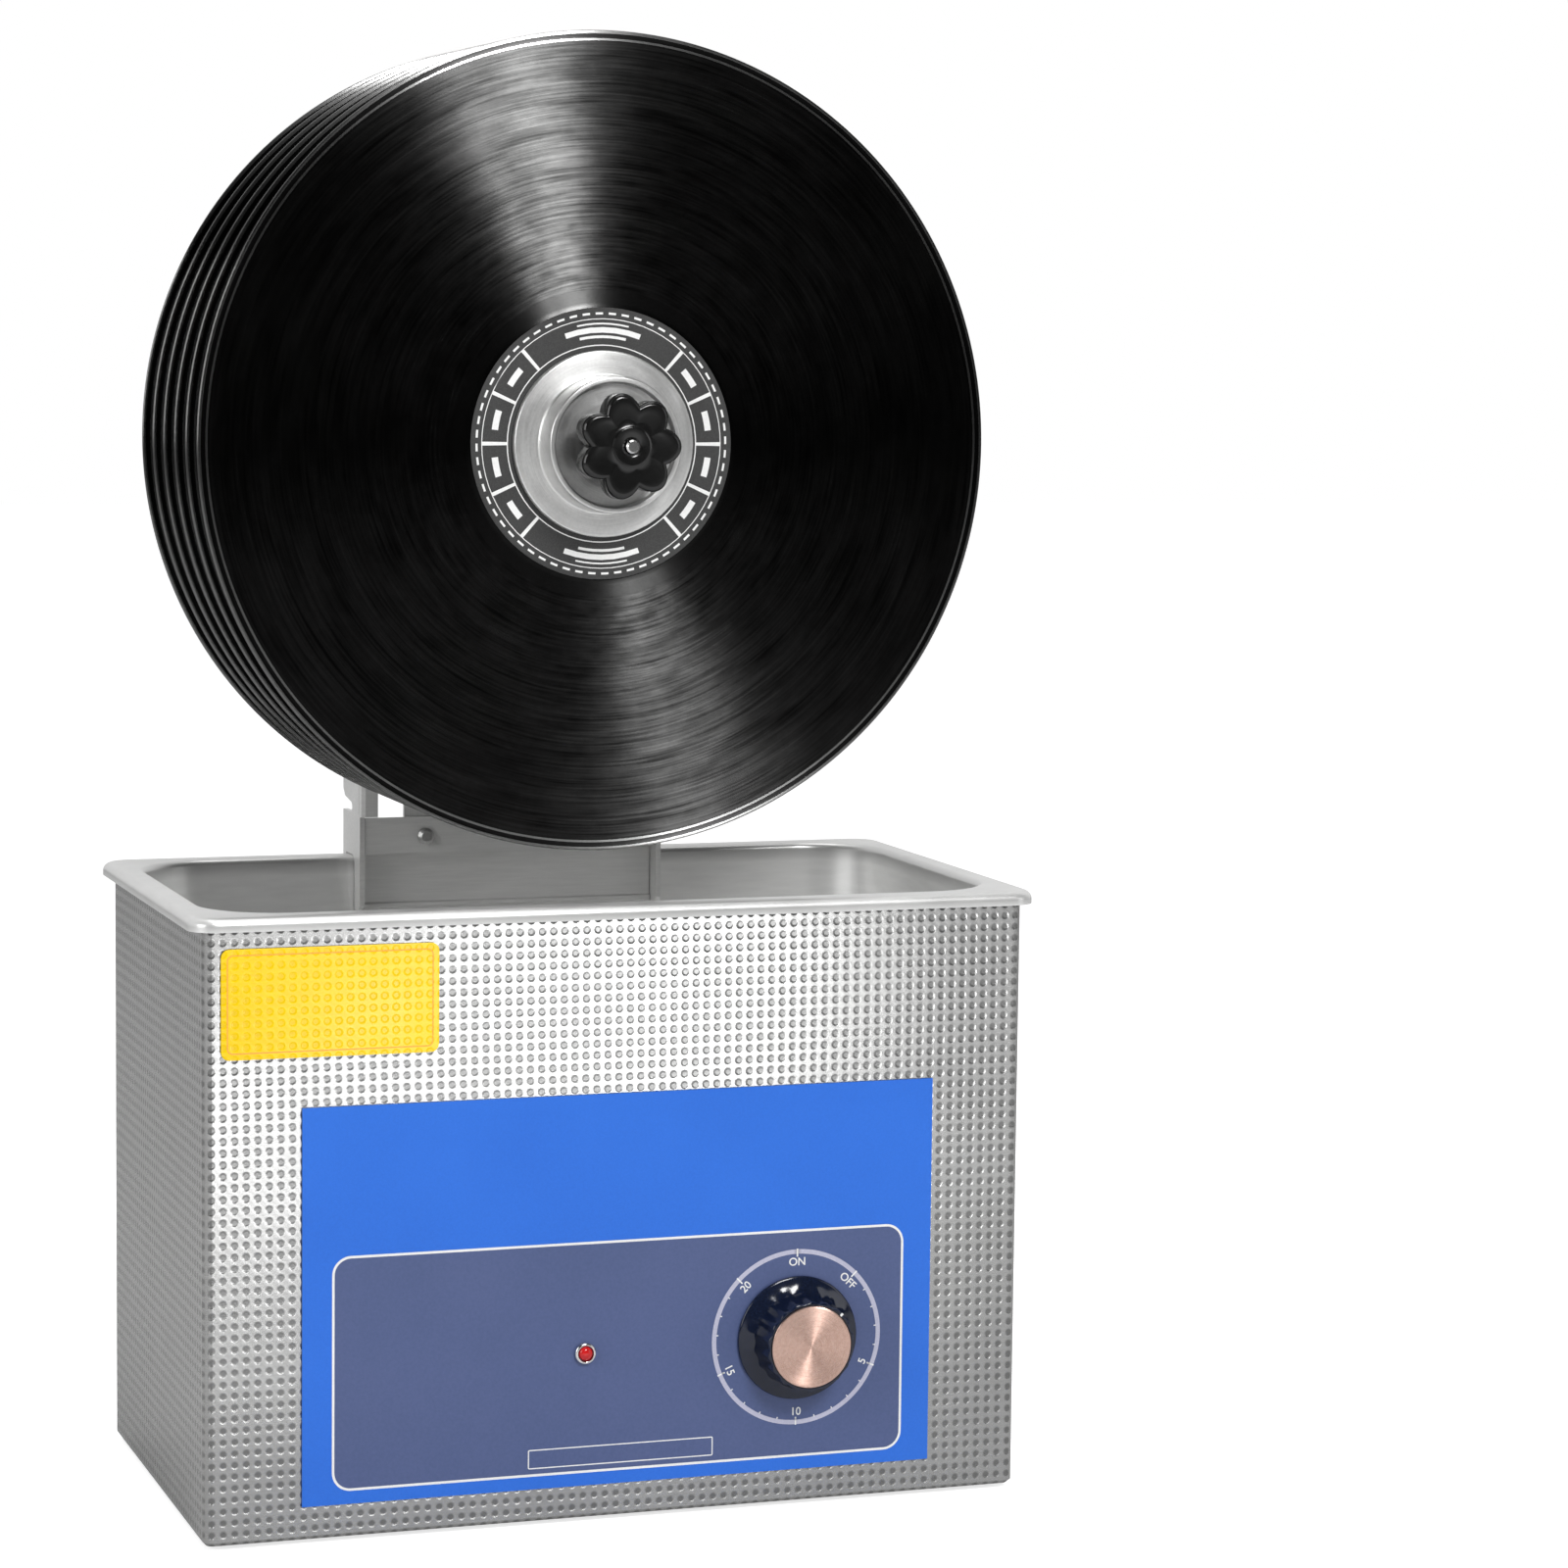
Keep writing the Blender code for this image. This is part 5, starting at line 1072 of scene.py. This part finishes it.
# %% Floor
FLOOR_HALF = 9.0
FLOOR_TONE = 0.80
FLOOR_GLOW = 0.74
floor_mesh = bpy.data.meshes.new("floor")
corners = [(u * FLOOR_HALF, v * FLOOR_HALF, 0) for u, v in ((-1, -1), (1, -1), (1, 1), (-1, 1))]
floor_mesh.from_pydata(corners, [], [(0, 1, 2, 3)])
floor = show("floor", floor_mesh)
floor_paint = bpy.data.materials.new("floor_paint")
floor_paint.use_nodes = True
tree = floor_paint.node_tree
rays = add(tree, "ShaderNodeLightPath").outputs
put(tree.nodes["Principled BSDF"], {
    "Base Color": (*even(FLOOR_TONE), 1.0), "Roughness": 0.9, "Specular IOR Level": 0.1,
    "Emission Color": (1.0, 1.0, 1.0, 1.0),
    "Emission Strength": calc(tree, "MULTIPLY", rays["Is Camera Ray"], FLOOR_GLOW),
})
floor.data.materials.append(floor_paint)

# %% World
ROOM_FRONT = 0.035
ROOM_BACK = 0.90
ROOM_FILL = 0.34
world = bpy.data.worlds.new("room")
bpy.context.scene.world = world
world.use_nodes = True
tree = world.node_tree
rays = add(tree, "ShaderNodeLightPath").outputs
sky = add(tree, "ShaderNodeTexCoord").outputs["Generated"]
depth = put(add(tree, "ShaderNodeSeparateXYZ"), {0: sky}).outputs["Y"]
room = spread(tree, depth, -0.25, 0.45, ROOM_FRONT, ROOM_BACK, "SMOOTHSTEP")
matt = calc(tree, "MULTIPLY", calc(tree, "SUBTRACT", 1.0, rays["Is Glossy Ray"]), ROOM_FILL)
room = calc(tree, "MULTIPLY_ADD", room, rays["Is Glossy Ray"], matt)
seen = calc(tree, "MAXIMUM", rays["Is Camera Ray"], rays["Is Transmission Ray"])
strength = calc(tree, "MAXIMUM", room, seen)
put(tree.nodes["Background"], {"Color": (1.0, 1.0, 1.0, 1.0), "Strength": strength})


# %% Lamps
def softbox(name, aim, direction, distance, width, height, power):
    """A rectangular area lamp at aim + direction x distance, facing the aim; the camera doesn't see it."""
    data = bpy.data.lights.new(name, "AREA")
    data.shape = "RECTANGLE"
    data.size = width
    data.size_y = height
    data.energy = power
    made = show(name, data)
    way = Vector(direction).normalized()
    made.location = Vector(aim) + way * distance
    made.rotation_mode = "QUATERNION"
    made.rotation_quaternion = way.to_track_quat("Z", "Y")
    made.visible_camera = False
    return made


def link_light(lamp, pieces, only):
    """Light linking: the lamp lights only these pieces, or everything but them."""
    listed = bpy.data.collections.new(lamp.name + "_pieces")
    for item in pieces:
        listed.objects.link(item)
    for entry in listed.collection_objects:
        entry.light_linking.link_state = "INCLUDE" if only else "EXCLUDE"
    lamp.light_linking.receiver_collection = listed


# %% [markdown]
# ## Which lamp lights what
#
# Four soft lamps light the machine. Vinyl and the spun cap would turn grey under them, so three of the four
# leave these out, and both have lamps of their own: two narrow ones make the wedges on the vinyl. Low lamps
# near the front make the bright patches on the case and on its yellow film. The camera sees no lamp.

# %% The lamps
AIM = (0.0, -0.05, 0.20)
vinyl = [item for item in made_pieces if item.name.startswith("disc_")]
caps = [knob_cap]
case_front = [frame["nodes"]["case_shell"]]
film = [frame["nodes"]["yellow_plate"], plate_line]
bath = [tub_skin] + [frame["nodes"][name] for name in ("cross_band", "cheek_left", "cheek_right", "mast")]
HUB_AT, TIMER_AT, BATH_AT = tuple(SPINDLE), tuple(TIMER), (0.0, 0.0, 0.20)
# Name, aim, direction, distance, width, height, watts, pieces, and whether it lights only these.
LAMPS = (
    ("key", AIM, (0.11, -0.79, 0.60), 2.3, 0.60, 0.60, 30.0, vinyl + caps, False),
    ("left", AIM, (-0.95, -0.35, 0.35), 2.2, 1.2, 1.2, 17.0, None, False),
    ("right", AIM, (0.85, -0.60, 0.25), 2.4, 0.9, 1.2, 5.0, vinyl + caps, False),
    ("top", AIM, (0.0, 0.10, 1.0), 2.4, 1.4, 1.4, 16.0, vinyl + caps, False),
    ("groove_left", HUB_AT, (0.055, -0.79, 0.52), 2.3, 0.12, 0.30, 90.0, vinyl, True),
    ("groove_right", HUB_AT, (0.165, -0.79, 0.52), 2.3, 0.26, 0.30, 200.0, vinyl, True),
    ("sheen_patch", (0.000, -0.09, 0.205), (0.290, -0.946, -0.146), 0.70, 0.16, 0.12, 0.75, case_front, True),
    ("sheen_left", (-0.17, -0.09, 0.15), (0.188, -0.966, -0.170), 0.70, 0.30, 0.06, 0.50, case_front, True),
    ("sheen_film", (-0.080, -0.09, 0.19), (0.239, -0.958, -0.156), 0.70, 0.08, 0.12, 1.60, film, True),
    ("bath_light", BATH_AT, (0.0, -0.50, 0.85), 2.2, 0.8, 0.8, 22.0, bath, True),
    ("cap_light", TIMER_AT, (0.42, -0.86, 0.16), 2.0, 0.14, 0.14, 9.0, caps, True),
    ("cap_fill", TIMER_AT, (0.10, -0.97, -0.06), 2.0, 0.9, 0.1, 4.0, caps, True),
)
for *shape, pieces, only in LAMPS:
    lamp = softbox(*shape)
    if pieces is not None:
        link_light(lamp, pieces, only)
print("lamps:", len(LAMPS))

# %% [markdown]
# ## The camera
#
# Its place, turn and focal length were fitted to the machine's own edges in the photo: the case's corners,
# the rim, and the outlines of the front and the rear disc.

# %% Camera
CAMERA_AT = (-0.46546, -1.60647, 0.43773)
YAW, PITCH, ROLL = 0.3308, 0.0966, 0.0110
FOCAL_PIXELS = 4443.69
FRAME_PIXELS = 1600
SENSOR = 36.0
forward = Vector((math.sin(YAW) * math.cos(PITCH), math.cos(YAW) * math.cos(PITCH), -math.sin(PITCH)))
level_right = Vector((math.cos(YAW), -math.sin(YAW), 0.0))
level_up = level_right.cross(forward)
camera_right = math.cos(ROLL) * level_right + math.sin(ROLL) * level_up
camera_up = -math.sin(ROLL) * level_right + math.cos(ROLL) * level_up
camera_data = bpy.data.cameras.new("camera")
camera_data.sensor_width = SENSOR
camera_data.lens = FOCAL_PIXELS / FRAME_PIXELS * SENSOR
camera_data.shift_x = 0.01463
camera_data.shift_y = -0.01929
camera_data.clip_start = 0.05
camera_data.clip_end = 60.0
camera = show("camera", camera_data)
turn = Matrix((camera_right, camera_up, -forward)).transposed().to_4x4()
camera.matrix_world = Matrix.Translation(CAMERA_AT) @ turn
bpy.context.scene.camera = camera
bpy.context.scene.view_settings.view_transform = "Standard"
